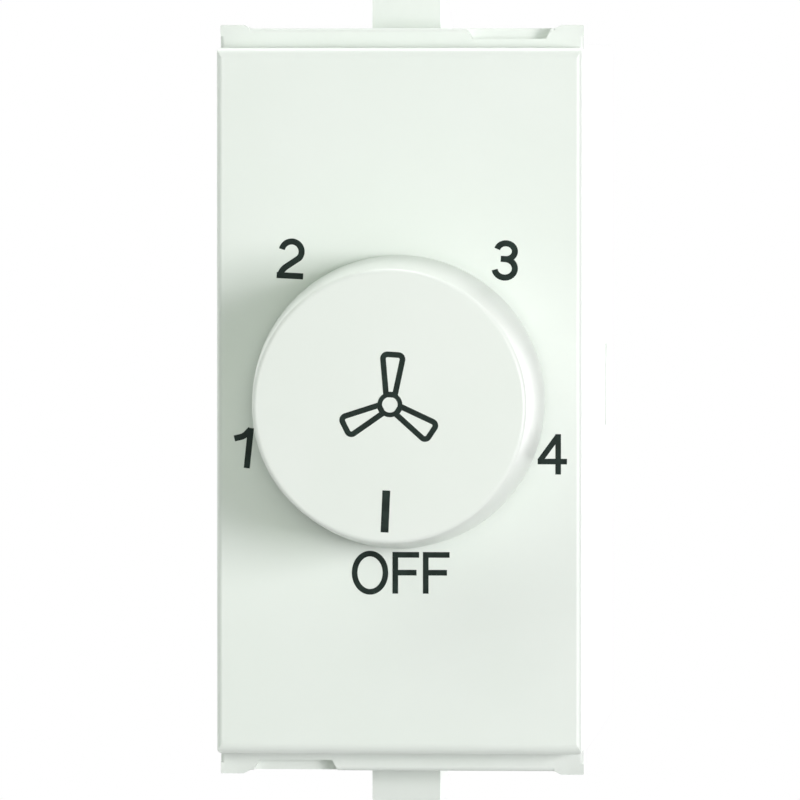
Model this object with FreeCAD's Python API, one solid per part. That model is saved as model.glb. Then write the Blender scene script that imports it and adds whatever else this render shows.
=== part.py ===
import FreeCAD, Part
import math
import os

# One-module fan regulator: a rotary switch with OFF and four capacitor steps.
# Millimetres. The front looks along -Y, +X is to the right and +Z is up.
# The origin is on the knob's axis, in the plane of the flange's rear face.

# Face plate
module_width = 22.3
face_height = 43.1
face_rise = 3.0
face_wall = 1.8
skirt_wall = 1.4
joint_gap = 0.15
face_end_radius = 0.65
face_side_radius = 0.35
face_corner_radius = 0.3

# Flange of the housing
flange_thickness = 1.6
flange_show = 1.2
flange_edge_radius = 0.25
foot_width = 1.4
foot_rise = 0.2
recess_inset = 4.6
recess_half_width = 2.25
recess_depth = 0.65
recess_slope = 0.45
recess_lip = 0.6

# Housing walls
seat_width = 1.05
side_step = 0.1
side_wall = 1.3
end_wall = 1.5
ledge_width = 1.0
ledge_depth = 1.5

# Catches that hold the module in its support frame
lug_half_width = 2.1
lug_reach = 2.65
lug_length = 12.0
lug_root_thickness = 0.8
lug_root_depth = 1.6
lug_slit = 0.4
lug_nose = 0.8
frame_grip = 2.6

# Snap tongues between the moulded pieces
tongue_width = 4.5
tongue_thickness = 1.05
tongue_length = 7.0
hook_height = 0.95
hook_depth = 2.0
hook_lead = 0.4
cover_tongue_width = 5.0
cover_tongue_length = 8.2
slip = 0.15
snap_play = 0.05
pillar_inset = 1.0
pillar_width = 1.4
pillar_start = 4.5
pillar_length = 3.0

# Knob
knob_base_radius = 8.95
knob_top_radius = 8.25
knob_height = 9.0
knob_gap = 0.4
knob_wall = 1.3
knob_top_wall = 1.8
knob_edge_radius = 0.3
boss_radius = 4.0
boss_recess = 0.6
knob_rib_thickness = 0.8
knob_rib_height = 1.7
clip_thickness = 0.35
clip_bend_radius = 0.3
clip_width = 2.4
clip_end_room = 0.75
clip_outer_length = 4.0

# Rotary switch
board_depth = 9.0
body_end_room = 1.3
body_front_wall = 1.8
body_corner_radius = 0.8
collar_radius = 4.5
collar_stand = 0.3
journal_radius = 3.0
shaft_radius = 2.5
shaft_flat_share = 0.6
journal_front_gap = 0.4
stop_disc_radius = 4.6
stop_disc_height = 2.1
star_radius = 6.5
star_height = 2.8
pilot_radius = 1.5
running_clearance = 0.03
pilot_clearance = 0.05
end_play = 0.1

# Resting places evenly round the turn, and the stop that bars the way from the last step to OFF
step_count = 4
stop_lug_half_angle = 12.0
stop_play = 0.6
stop_angle = 180.0
stop_gap = 0.3

# Detent leaf
leaf_thickness = 0.4
leaf_width = 2.5
leaf_half_length = 7.0
leaf_rise = 0.8
leaf_travel = 1.6
leaf_bow_room = 0.2
bump_radius = 1.2
bump_play = 0.05

# Wiper and contacts
contact_thickness = 0.3
contact_width = 1.4
contact_half_angle = 26.0
track_gap = 0.8
contact_pin_radius = 0.45
wiper_thickness = 0.3
wiper_finger_width = 1.2
wiper_finger_length = 2.6
wiper_room = 1.6
wiper_touch = 0.45
wiper_window_room = 0.5

# Board and what is soldered on it
board_thickness = 1.6
board_play = 0.2
hole_play = 0.05
rivet_radius = 0.8
rivet_head_radius = 1.4
rivet_head_height = 0.4
rivet_inset = 1.6
capacitor_depth = 17.5
capacitor_standoff = 0.5
capacitor_side_room = 1.0
capacitor_gap = 1.1
capacitor_play = 0.2
capacitor_pin_radius = 0.4
capacitor_edge_radius = 1.0
large_capacitor_height = 20.0
large_pin_inset = 1.25
small_pin_inset = 3.75
standoff_radius = 0.5
standoff_inset = 2.0
series_resistor_radius = 1.6
series_resistor_length = 9.0
bleed_resistor_radius = 1.15
bleed_resistor_length = 6.3
resistor_waist_share = 0.88
resistor_cap_share = 1.1
resistor_gap = 0.55
resistor_end_room = 0.85
lead_radius = 0.35
lead_bend_radius = 1.0
lead_run = 1.8

# Terminals
terminal_width = 7.2
terminal_height = 7.4
terminal_floor = 0.9
terminal_play = 0.2
wire_bore_radius = 1.6
wire_guide_radius = 2.2
wire_guide_wall = 1.0
thread_length = 2.8
thread_clearance = 0.05
tail_thickness = 0.8
tail_half_width = 1.5
cradle_wall = 1.2
screw_radius = 1.5
screw_tip_rounding = 0.6
screw_travel = 2.6
screw_head_radius = 2.6
screw_head_height = 2.0
screw_slot_width = 0.8
screw_slot_depth = 1.0

# Rear cover
cover_thickness = 1.5
cover_recess = 0.3
cover_edge_radius = 0.5
well_clearance = 0.4
well_wall = 0.8
plug_depth = 2.8
plug_wall = 1.0
vent_width = 1.2
vent_half_length = 5.0
vent_pitch = 3.0
vent_count = 3

# Small roundings, and what a joined piece bites into its neighbour or a cut runs past it
fine_round = 0.15
soft_round = 0.3
bite = 0.5
past = 1.0
same_point = 1e-6

# Width and height, as half sizes from the knob's axis
half_width = module_width / 2
face_half = face_height / 2
flange_half = face_half + flange_show
box_half_width = half_width - side_step
box_half = flange_half - seat_width
cavity_half_width = box_half_width - side_wall
cavity_half = box_half - end_wall
board_half_width = cavity_half_width - slip
board_half = cavity_half - board_play
body_half_width = board_half_width - snap_play
rivet_x = body_half_width - rivet_inset
recess_centre = half_width - recess_inset
capacitor_half_width = cavity_half_width - capacitor_side_room

# Depths along Y, from the front to the back
flange_front = -flange_thickness
face_back = flange_front - joint_gap
face_front = flange_front - face_rise
face_inner = face_front + face_wall
knob_back = face_front - knob_gap
knob_front = knob_back - knob_height
knob_ceiling = knob_front + knob_top_wall
boss_end = knob_back - boss_recess
collar_front = face_front - collar_stand
journal_front = boss_end + journal_front_gap
board_front = board_depth
board_back = board_front + board_thickness
body_height = body_front_wall + end_play + stop_disc_height + star_height + wiper_room
body_front = board_front - body_height
body_floor = body_front + body_front_wall
stop_disc_front = body_floor + end_play
star_front = stop_disc_front + stop_disc_height
star_back = star_front + star_height
stop_layer_back = star_front - end_play
contact_front = board_front - contact_thickness
capacitor_front = board_back + capacitor_standoff
capacitor_back = capacitor_front + capacitor_depth
solder_end = capacitor_front - capacitor_play
block_front = capacitor_back + resistor_gap / 2
wire_bore_y = block_front + terminal_floor + wire_bore_radius
block_back = wire_bore_y + wire_bore_radius + thread_length
screw_tip = wire_bore_y + wire_bore_radius + end_play
screw_head_front = block_back + screw_travel
cover_back = screw_head_front + screw_head_height + cover_recess
cover_front = cover_back - cover_thickness

# Places across the board
terminal_outer = cavity_half - ledge_width - terminal_play
terminal_z = terminal_outer - terminal_height / 2
tail_inner = terminal_outer - tail_thickness
outer_track_radius = star_radius - contact_width / 2
inner_track_radius = outer_track_radius - contact_width - track_gap
bleed_resistor_z = cavity_half - resistor_end_room - bleed_resistor_radius
series_resistor_z = bleed_resistor_z - bleed_resistor_radius - resistor_gap - series_resistor_radius
body_half_height = series_resistor_z - series_resistor_radius - body_end_room
rivet_z = body_half_height - rivet_inset
capacitor_reach = tail_inner - capacitor_play
large_capacitor_foot = capacitor_reach - large_capacitor_height
large_capacitor_z = capacitor_reach - large_capacitor_height / 2
small_capacitor_top = large_capacitor_foot - capacitor_gap
small_capacitor_z = (small_capacitor_top - capacitor_reach) / 2

# Fits
stop_rib_inner = stop_disc_radius + stop_gap
stop_lug_radius = star_radius - end_play * 2
front_cavity_radius = star_radius + end_play
star_room = leaf_rise + leaf_bow_room
rear_cavity_radius = star_radius + star_room
shaft_flat = shaft_radius * shaft_flat_share
knob_flat = shaft_flat + clip_thickness + snap_play
clip_length = boss_end + clip_thickness - knob_ceiling - clip_end_room
full_turn = 360.0
step_angle = full_turn / (step_count + 1)
stop_rib_half_angle = step_angle / 2 - stop_lug_half_angle - stop_play
stop_lug_angle = stop_angle + stop_rib_half_angle + stop_lug_half_angle + stop_play
bump_centre = star_radius + leaf_rise - leaf_thickness + snap_play

origin = FreeCAD.Vector(0, 0, 0)
along_x = FreeCAD.Vector(1, 0, 0)
along_y = FreeCAD.Vector(0, 1, 0)
along_z = FreeCAD.Vector(0, 0, 1)


def point(axis, u, v, w=0.0):
    """A point from its place (u, v) in the plane across an axis and its place w along it."""
    if axis == "x":
        return FreeCAD.Vector(w, u, v)
    if axis == "y":
        return FreeCAD.Vector(u, w, v)
    return FreeCAD.Vector(u, v, w)


def outline(corners, axis, w=0.0):
    """A closed face through corners (u, v, radius), each corner rounded by its radius."""
    places = [FreeCAD.Vector(u, v, 0) for u, v, radius in corners]
    stops = []
    for i, (u, v, radius) in enumerate(corners):
        here = places[i]
        if radius <= 0:
            stops.append((here, None, here))
            continue
        back = (places[i - 1] - here).normalize()
        ahead = (places[(i + 1) % len(places)] - here).normalize()
        half = math.acos(max(-1.0, min(1.0, back.dot(ahead)))) / 2
        reach = radius / math.tan(half)
        middle = (back + ahead).normalize()
        crown = here + middle * (radius / math.sin(half) - radius)
        stops.append((here + back * reach, crown, here + ahead * reach))
    edges = []
    for i, (start, crown, end) in enumerate(stops):
        if crown is not None:
            arc = [point(axis, p.x, p.y, w) for p in (start, crown, end)]
            edges.append(Part.Arc(*arc).toShape())
        after = stops[(i + 1) % len(stops)][0]
        if (after - end).Length > same_point:
            edges.append(Part.makeLine(point(axis, end.x, end.y, w), point(axis, after.x, after.y, w)))
    return Part.Face(Part.Wire(edges))


def prism(corners, axis, span):
    """The outline carried along an axis from span[0] to span[1]."""
    return outline(corners, axis, span[0]).extrude(point(axis, 0, 0, span[1] - span[0]))


def turned(corners):
    """A solid of revolution about the Y axis from corners (radius, y, rounding)."""
    return outline(corners, "z").revolve(origin, along_y, full_turn)


def box(x, y, z):
    """A block between the low and high ends given for each axis."""
    return Part.makeBox(x[1] - x[0], y[1] - y[0], z[1] - z[0], FreeCAD.Vector(x[0], y[0], z[0]))


def mid_box(half_x, y, half_z):
    """A block centred on the knob's axis."""
    return box((-half_x, half_x), y, (-half_z, half_z))


def rod_y(radius, y, x=0.0, z=0.0):
    """A round bar along Y."""
    return Part.makeCylinder(radius, y[1] - y[0], FreeCAD.Vector(x, y[0], z), along_y)


def rod_z(radius, z, x=0.0, y=0.0):
    """A round bar along Z."""
    return Part.makeCylinder(radius, z[1] - z[0], FreeCAD.Vector(x, y, z[0]), along_z)


def spin(shape, angle):
    """A copy turned about the knob's axis, clockwise as seen from the front."""
    turned_copy = shape.copy()
    turned_copy.rotate(origin, along_y, angle)
    return turned_copy


def moved(shape, x=0.0, y=0.0, z=0.0):
    """A copy shifted by the given amounts."""
    shifted_copy = shape.copy()
    shifted_copy.translate(FreeCAD.Vector(x, y, z))
    return shifted_copy


def sector(inner, outer, y, angle, half_angle):
    """Part of a ring about the knob's axis, centred at an angle clockwise from the bottom."""
    ring = rod_y(outer, y).cut(rod_y(inner, (y[0] - past, y[1] + past)))
    reach = 2 * outer
    side = reach * math.tan(math.radians(half_angle))
    wedge = prism([(0, 0, 0), (-side, -reach, 0), (side, -reach, 0)], "y", y)
    return spin(ring.common(wedge), angle)


def round_place(radius, angle):
    """The X and Z of a point at a radius and an angle clockwise from the bottom."""
    turn = math.radians(angle)
    return -radius * math.sin(turn), -radius * math.cos(turn)


def slab(half_x, half_z, y, side_radius, end_radius, corner_radius):
    """A plate whose front edges are rounded, each pair of sides by its own radius."""
    front, back = y
    across = [
        (-half_x, front, side_radius),
        (half_x, front, side_radius),
        (half_x, back, 0),
        (-half_x, back, 0),
    ]
    upright = [
        (front, -half_z, end_radius),
        (back, -half_z, 0),
        (back, half_z, 0),
        (front, half_z, end_radius),
    ]
    plan = [(x * half_x, z * half_z, corner_radius) for x, z in ((-1, -1), (1, -1), (1, 1), (-1, 1))]
    solid = prism(across, "z", (-half_z, half_z))
    solid = solid.common(prism(upright, "x", (-half_x, half_x)))
    return solid.common(prism(plan, "y", y))


def make_face_plate():
    """The front cap, with pillars that press on the switch and two snap tongues."""
    cap = slab(half_width, face_half, (face_front, face_back),
               face_side_radius, face_end_radius, face_corner_radius)
    cap = cap.cut(mid_box(half_width - skirt_wall, (face_inner, face_back + past), face_half - skirt_wall))
    pillar_side = body_half_width - pillar_inset
    pillar_x = (pillar_side - pillar_width, pillar_side)
    pillar_z = (pillar_start, pillar_start + pillar_length)
    for side in (-1, 1):
        for end in (-1, 1):
            x = sorted(side * value for value in pillar_x)
            z = sorted(end * value for value in pillar_z)
            cap = cap.fuse(box(x, (face_inner - bite, body_front), z))
    root = face_inner - bite
    catch = face_inner + tongue_length - hook_depth
    outer = cavity_half - slip
    tongue = prism([
        (root, outer - tongue_thickness, 0),
        (catch + hook_depth, outer - tongue_thickness, soft_round),
        (catch + hook_depth, outer, 0),
        (catch + hook_lead, outer + hook_height, fine_round),
        (catch, outer + hook_height, 0),
        (catch, outer, 0),
        (root, outer, 0),
    ], "x", (recess_centre - tongue_width / 2, recess_centre + tongue_width / 2))
    for angle in (0, 180):
        cap = cap.fuse(spin(tongue, angle))
    cap = cap.cut(rod_y(collar_radius + end_play, (face_front - past, face_inner + past)))
    return cap.removeSplitter()


def make_flange():
    """The flange: four low corner feet and a release recess at two opposite corners."""
    depth = (flange_front, 0.0)
    flange = slab(half_width, flange_half, depth,
                  flange_edge_radius, flange_edge_radius, face_corner_radius)
    foot = prism([
        (half_width, flange_half - bite, 0),
        (half_width, flange_half + foot_rise, fine_round / 2),
        (half_width - foot_width, flange_half + foot_rise, fine_round / 2),
        (half_width - foot_width - 2 * foot_rise, flange_half, 0),
        (half_width - foot_width - 2 * foot_rise, flange_half - bite, 0),
    ], "y", depth)
    mirrored_foot = foot.mirror(origin, along_x)
    recess = prism([
        (recess_centre - recess_half_width, flange_half - recess_depth, 0),
        (recess_centre + recess_half_width, flange_half - recess_depth, 0),
        (recess_centre + recess_half_width + recess_slope, flange_half + foot_rise, 0),
        (recess_centre - recess_half_width - recess_slope, flange_half + foot_rise, 0),
    ], "y", (flange_front - past, -recess_lip))
    for angle in (0, 180):
        flange = flange.fuse(spin(foot, angle)).fuse(spin(mirrored_foot, angle))
    for angle in (0, 180):
        flange = flange.cut(spin(recess, angle))
    return flange


def make_lug():
    """A springy barb on the end wall that snaps behind the support frame."""
    lug_back = frame_grip + lug_length
    under = box_half + lug_slit
    tip = flange_half + lug_reach
    return prism([
        (lug_back, box_half - bite, 0),
        (lug_back, under + lug_root_thickness, soft_round),
        (frame_grip + lug_nose, tip, soft_round),
        (frame_grip, tip, fine_round),
        (frame_grip, under + lug_slit, fine_round),
        (lug_back - lug_root_depth, under, fine_round),
        (lug_back - lug_root_depth, box_half - bite, 0),
    ], "x", (-lug_half_width, lug_half_width))


def make_housing():
    """The box with its flange, board ledges, terminal cradles, windows and wire entries."""
    housing = make_flange().fuse(mid_box(box_half_width, (-bite, cover_front), box_half))
    cavity = mid_box(cavity_half_width, (flange_front - past, cover_front + past), cavity_half)
    housing = housing.cut(cavity)
    ledge = box((-cavity_half_width - bite, cavity_half_width + bite),
                (board_back, board_back + ledge_depth),
                (cavity_half - ledge_width, cavity_half + bite))
    guide = rod_z(wire_guide_radius + wire_guide_wall, (terminal_outer + slip, cavity_half + bite),
                  0, wire_bore_y)
    cradle_side = terminal_width / 2 + snap_play
    cradle = box((cradle_side, cradle_side + cradle_wall), (block_front, block_back - terminal_play),
                 (terminal_z - bite, cavity_half + bite))
    far_cradle = cradle.mirror(origin, along_x)
    lug = make_lug()
    for angle in (0, 180):
        for piece in (ledge, guide, cradle, far_cradle, lug):
            housing = housing.fuse(spin(piece, angle))
    catch = face_inner + tongue_length - hook_depth
    tongue_window = box((recess_centre - tongue_width / 2 - slip, recess_centre + tongue_width / 2 + slip),
                        (catch - snap_play, catch + hook_depth + slip),
                        (cavity_half - bite, box_half + past))
    cover_catch = cover_front - cover_tongue_length + hook_depth
    cover_window = box((cavity_half_width - bite, box_half_width + past),
                       (cover_catch - hook_depth - slip, cover_catch + snap_play),
                       (-cover_tongue_width / 2 - slip, cover_tongue_width / 2 + slip))
    wire_hole = rod_z(wire_guide_radius, (terminal_outer, box_half + past), 0, wire_bore_y)
    for angle in (0, 180):
        for hole in (tongue_window, cover_window, wire_hole):
            housing = housing.cut(spin(hole, angle))
    return housing.removeSplitter()


def make_rear_cover():
    """The back, with a plug rim, a guarded well over each screw, vents and two snap tongues."""
    back = slab(box_half_width, box_half, (-cover_back, -cover_front),
                cover_edge_radius, cover_edge_radius, face_corner_radius)
    back = back.mirror(origin, along_y)
    plug_x = cavity_half_width - slip
    plug_z = cavity_half - slip
    plug = mid_box(plug_x, (cover_front - plug_depth, cover_front + bite), plug_z)
    hollow = mid_box(plug_x - plug_wall, (cover_front - plug_depth - past, cover_front), plug_z - plug_wall)
    cover = back.fuse(plug.cut(hollow))
    well_radius = screw_head_radius + well_clearance
    catch = cover_front - cover_tongue_length + hook_depth
    tongue = prism([
        (plug_x - plug_wall, cover_front + bite, 0),
        (plug_x, cover_front + bite, 0),
        (plug_x, catch, 0),
        (plug_x + hook_height, catch, 0),
        (plug_x + hook_height, catch - hook_lead, fine_round),
        (plug_x, catch - hook_depth, 0),
        (plug_x - plug_wall, catch - hook_depth, soft_round),
    ], "z", (-cover_tongue_width / 2, cover_tongue_width / 2))
    for angle in (0, 180):
        tube = rod_y(well_radius + well_wall, (block_back, cover_front + bite), 0, terminal_z)
        cover = cover.fuse(spin(tube, angle)).fuse(spin(tongue, angle))
    well = rod_y(well_radius, (block_back - past, cover_back + past), 0, terminal_z)
    for angle in (0, 180):
        cover = cover.cut(spin(well, angle))
    for i in range(vent_count):
        z = (i - (vent_count - 1) / 2) * vent_pitch
        vent = box((-vent_half_length, vent_half_length), (cover_front - past, cover_back + past),
                   (z - vent_width / 2, z + vent_width / 2))
        cover = cover.cut(vent)
    return cover.removeSplitter()


def make_knob():
    """The hollow tapered knob with a boss that takes the flatted shaft and its clip."""
    inner_base = knob_base_radius - knob_wall
    inner_top = knob_top_radius - knob_wall
    knob = turned([
        (0, knob_front, 0),
        (knob_top_radius, knob_front, knob_edge_radius),
        (knob_base_radius, knob_back, fine_round),
        (inner_base, knob_back, fine_round),
        (inner_top, knob_ceiling, soft_round),
        (boss_radius, knob_ceiling, soft_round),
        (boss_radius, boss_end, fine_round),
        (0, boss_end, 0),
    ])
    rib = box((-knob_rib_thickness / 2, knob_rib_thickness / 2),
              (knob_ceiling - bite, knob_ceiling + knob_rib_height),
              (boss_radius - bite, inner_top + bite / 2))
    for i in range(4):
        knob = knob.fuse(spin(rib, 45 + 90 * i))
    bore = rod_y(shaft_radius + running_clearance, (knob_ceiling - end_play, boss_end + past))
    flat_side = box((-shaft_radius * 2, shaft_radius * 2), (knob_front - past, boss_end + past),
                    (knob_flat, shaft_radius * 2))
    return knob.cut(bore.cut(flat_side)).removeSplitter()


def make_knob_spring_clip():
    """A folded steel clip: the inner leg wedges on the shaft's flat, the outer leg holds the boss."""
    inner = knob_flat - clip_thickness
    outer = boss_radius + clip_thickness
    fold = boss_end + clip_thickness
    return prism([
        (fold - clip_length, inner, 0),
        (fold, inner, clip_bend_radius),
        (fold, outer, clip_bend_radius),
        (fold - clip_outer_length, outer, 0),
        (fold - clip_outer_length, boss_radius, 0),
        (boss_end, boss_radius, 0),
        (boss_end, knob_flat, 0),
        (fold - clip_length, knob_flat, 0),
    ], "x", (-clip_width / 2, clip_width / 2))


def make_switch_body():
    """The black body: collar and bearing, stop rib, cavities and the detent leaf's pocket."""
    plan = [(x * body_half_width, z * body_half_height, body_corner_radius)
            for x, z in ((-1, -1), (1, -1), (1, 1), (-1, 1))]
    body = prism(plan, "y", (body_front, board_front))
    body = body.fuse(rod_y(collar_radius, (collar_front, body_front + bite)))
    body = body.cut(rod_y(front_cavity_radius, (body_floor, board_front + past)))
    body = body.cut(rod_y(rear_cavity_radius, (stop_layer_back, board_front + past)))
    leaf_seat = star_radius + leaf_rise
    pocket_side = leaf_half_length - leaf_rise
    body = body.cut(box((-pocket_side, pocket_side), (stop_layer_back, board_front + past),
                        (leaf_seat, leaf_seat + leaf_thickness + leaf_travel)))
    body = body.cut(box((-leaf_half_length - slip, leaf_half_length + slip),
                        (stop_layer_back, board_front + past),
                        (leaf_seat, leaf_seat + leaf_thickness + snap_play)))
    rib = sector(stop_rib_inner, front_cavity_radius + bite, (body_floor - bite, stop_layer_back),
                 stop_angle, stop_rib_half_angle)
    body = body.fuse(rib)
    body = body.cut(rod_y(journal_radius + running_clearance, (collar_front - past, body_floor + past)))
    for x in (-rivet_x, rivet_x):
        for z in (-rivet_z, rivet_z):
            body = body.cut(rod_y(rivet_radius + hole_play, (body_front - past, board_front + past), x, z))
    return body.removeSplitter()


def make_rotor_shaft():
    """Flatted shaft, journal, stop disc with its lug, five-notch star and rear pilot in one moulding."""
    shaft = rod_y(shaft_radius, (knob_ceiling, journal_front + bite))
    shaft = shaft.cut(box((-shaft_radius * 2, shaft_radius * 2), (knob_ceiling - past, journal_front),
                          (shaft_flat, shaft_radius * 2)))
    rotor = shaft.fuse(rod_y(journal_radius, (journal_front, stop_disc_front + bite)))
    rotor = rotor.fuse(rod_y(stop_disc_radius, (stop_disc_front, star_front + bite)))
    rotor = rotor.fuse(rod_y(pilot_radius, (star_back - bite, board_back - hole_play)))
    star = rod_y(star_radius, (star_front, star_back))
    for i in range(step_count + 1):
        x, z = round_place(bump_centre, stop_angle + i * step_angle)
        star = star.cut(rod_y(bump_radius + bump_play, (star_front - past, star_back + past), x, z))
    rotor = rotor.fuse(star)
    lug = sector(stop_disc_radius - bite, stop_lug_radius, (stop_disc_front, stop_layer_back - end_play),
                 stop_lug_angle, stop_lug_half_angle)
    return rotor.fuse(lug).removeSplitter()


def make_detent_leaf():
    """A flat spring strip with a rounded bump that drops into the star's notches."""
    low = star_radius + leaf_rise
    high = low + leaf_thickness
    bump_inner = bump_radius - leaf_thickness
    foot = bump_centre - bump_radius
    y = (star_front + end_play, star_front + end_play + leaf_width)
    return prism([
        (-leaf_half_length, low, 0),
        (-bump_radius, low, 0),
        (-bump_radius, foot, bump_radius),
        (bump_radius, foot, bump_radius),
        (bump_radius, low, 0),
        (leaf_half_length, low, 0),
        (leaf_half_length, high, 0),
        (bump_inner, high, 0),
        (bump_inner, foot + leaf_thickness, bump_inner),
        (-bump_inner, foot + leaf_thickness, bump_inner),
        (-bump_inner, high, 0),
        (-leaf_half_length, high, 0),
    ], "y", y)


def make_wiper():
    """A bronze plate on the star with two raised fingers, one on each contact track."""
    plate_back = star_back + wiper_thickness
    plate_radius = outer_track_radius - wiper_finger_width / 2
    plate = rod_y(plate_radius, (star_back, plate_back))
    tip = contact_front - hole_play
    lead = wiper_finger_length
    window = box((-wiper_window_room - wiper_touch, lead), (star_back - past, plate_back + past),
                 (-inner_track_radius - contact_width / 2, -inner_track_radius + contact_width / 2))
    plate = plate.cut(spin(window, 180))
    for radius, angle in ((outer_track_radius, 0), (inner_track_radius, 180)):
        span = (-radius - wiper_finger_width / 2, -radius + wiper_finger_width / 2)
        finger = prism([
            (lead, star_back, 0),
            (lead, plate_back, 0),
            (wiper_touch, tip, fine_round),
            (-wiper_touch, tip, fine_round),
            (-wiper_touch, tip - wiper_thickness, 0),
            (wiper_touch, tip - wiper_thickness, fine_round),
        ], "z", span)
        root = box((lead - bite / 2, lead + bite), (star_back, plate_back), (span[0], -inner_track_radius))
        plate = plate.fuse(spin(finger, angle)).fuse(spin(root, angle))
    plate = plate.cut(rod_y(pilot_radius + pilot_clearance, (star_back - past, plate_back + past)))
    return plate.removeSplitter()


def lead_places():
    """Each soldered resistor: name, height on the board, body radius, body length."""
    rows = []
    for i, end in enumerate((1, -1)):
        rows.append((f"series_resistor_{i + 1}", end * series_resistor_z,
                     series_resistor_radius, series_resistor_length))
        rows.append((f"bleed_resistor_{i + 1}", end * bleed_resistor_z,
                     bleed_resistor_radius, bleed_resistor_length))
    return rows


def make_contact_common():
    """The ring contact with its soldered pin."""
    y = (contact_front, board_front)
    ring = rod_y(inner_track_radius + contact_width / 2, y)
    ring = ring.cut(rod_y(inner_track_radius - contact_width / 2, y))
    x, z = round_place(inner_track_radius, stop_angle)
    pin = rod_y(contact_pin_radius, (board_front - end_play, solder_end), x, z)
    return ring.fuse(pin).removeSplitter()


def make_contact_step(step):
    """One arc contact, under the wiper's outer finger at its step."""
    angle = step * step_angle
    arc = sector(outer_track_radius - contact_width / 2, outer_track_radius + contact_width / 2,
                 (contact_front, board_front), angle, contact_half_angle)
    x, z = round_place(outer_track_radius, angle)
    pin = rod_y(contact_pin_radius, (board_front - end_play, solder_end), x, z)
    return arc.fuse(pin).removeSplitter()


def make_circuit_board():
    """The board with every hole taken from the piece that passes through it."""
    board = mid_box(board_half_width, (board_front, board_back), board_half)
    holes = [(pilot_radius + pilot_clearance, 0.0, 0.0)]
    for x in (-rivet_x, rivet_x):
        for z in (-rivet_z, rivet_z):
            holes.append((rivet_radius + hole_play, x, z))
    holes.append((contact_pin_radius + hole_play, *round_place(inner_track_radius, stop_angle)))
    for step in range(1, step_count + 1):
        holes.append((contact_pin_radius + hole_play, *round_place(outer_track_radius, step * step_angle)))
    for name, z, radius, length in lead_places():
        for side in (-1, 1):
            holes.append((lead_radius + hole_play, side * (length / 2 + lead_run), z))
    for z, inset in ((large_capacitor_z, large_pin_inset), (small_capacitor_z, small_pin_inset)):
        for side in (-1, 1):
            holes.append((capacitor_pin_radius + hole_play, side * (capacitor_half_width - inset), z))
    for radius, x, z in holes:
        board = board.cut(rod_y(radius, (board_front - past, board_back + past), x, z))
    slot = box((-tail_half_width - hole_play, tail_half_width + hole_play),
               (board_front - past, board_back + past),
               (tail_inner - hole_play, terminal_outer + hole_play))
    for angle in (0, 180):
        board = board.cut(spin(slot, angle))
    return board.removeSplitter()


def make_board_rivets():
    """Four tubular rivets that clamp the switch body to the board."""
    rivets = []
    for x in (-rivet_x, rivet_x):
        for z in (-rivet_z, rivet_z):
            rivet = rod_y(rivet_radius, (body_front, board_back), x, z)
            for y in (body_front - rivet_head_height, board_back):
                rivet = rivet.fuse(rod_y(rivet_head_radius, (y, y + rivet_head_height), x, z))
            rivets.append(rivet.removeSplitter())
    return Part.makeCompound([solid for rivet in rivets for solid in rivet.Solids])


def make_capacitor(foot, top, pin_inset):
    """A box capacitor on four standoffs, with two pins through the board."""
    middle = (foot + top) / 2
    plan = [
        (-capacitor_half_width, foot, capacitor_edge_radius),
        (capacitor_half_width, foot, capacitor_edge_radius),
        (capacitor_half_width, top, capacitor_edge_radius),
        (-capacitor_half_width, top, capacitor_edge_radius),
    ]
    capacitor = prism(plan, "y", (capacitor_front, capacitor_back))
    for side in (-1, 1):
        for z in (foot + standoff_inset, top - standoff_inset):
            x = side * (capacitor_half_width - standoff_inset / 2)
            capacitor = capacitor.fuse(rod_y(standoff_radius, (board_back, capacitor_front + bite), x, z))
        pin = rod_y(capacitor_pin_radius, (board_front + end_play, capacitor_front + bite),
                    side * (capacitor_half_width - pin_inset), middle)
        capacitor = capacitor.fuse(pin)
    return capacitor.removeSplitter()


def make_resistor(z, radius, length):
    """An axial resistor lying on the board, its leads bent back through it."""
    half = length / 2
    waist = radius * resistor_waist_share
    cap = radius * resistor_cap_share
    barrel = turned([
        (0, -half, 0),
        (radius, -half, soft_round),
        (radius, -half + cap, fine_round),
        (waist, -half + cap + soft_round, fine_round),
        (waist, half - cap - soft_round, fine_round),
        (radius, half - cap, fine_round),
        (radius, half, soft_round),
        (0, half, 0),
    ])
    barrel.rotate(origin, along_z, 90)
    resistor = moved(barrel, 0, board_front - radius, z)
    axis_y = board_front - radius
    for side in (-1, 1):
        turn_x = side * (half + lead_run)
        bend_x = side * (half + lead_run - lead_bend_radius)
        crown = lead_bend_radius * (1 - math.sqrt(0.5))
        start = FreeCAD.Vector(side * (half - bite), axis_y, z)
        bend_in = FreeCAD.Vector(bend_x, axis_y, z)
        bend_mid = FreeCAD.Vector(turn_x - side * crown, axis_y + crown, z)
        bend_out = FreeCAD.Vector(turn_x, axis_y + lead_bend_radius, z)
        end = FreeCAD.Vector(turn_x, solder_end, z)
        path = Part.Wire([
            Part.makeLine(start, bend_in),
            Part.Arc(bend_in, bend_mid, bend_out).toShape(),
            Part.makeLine(bend_out, end),
        ])
        ring = Part.Wire([Part.makeCircle(lead_radius, start, FreeCAD.Vector(side, 0, 0))])
        resistor = resistor.fuse(path.makePipeShell([ring], True, False))
    return resistor.removeSplitter()


def make_terminal():
    """A brass block with a wire bore, a threaded hole across it and a tail to the board."""
    block = box((-terminal_width / 2, terminal_width / 2), (block_front, block_back),
                (terminal_outer - terminal_height, terminal_outer))
    tail = box((-tail_half_width, tail_half_width), (board_front + end_play, block_front + bite),
               (tail_inner, terminal_outer))
    block = block.fuse(tail)
    block = block.cut(rod_z(wire_bore_radius,
                            (terminal_outer - terminal_height - past, terminal_outer + past),
                            0, wire_bore_y))
    block = block.cut(rod_y(screw_radius + thread_clearance, (wire_bore_y, block_back + past),
                            0, terminal_z))
    return block.removeSplitter()


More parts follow.
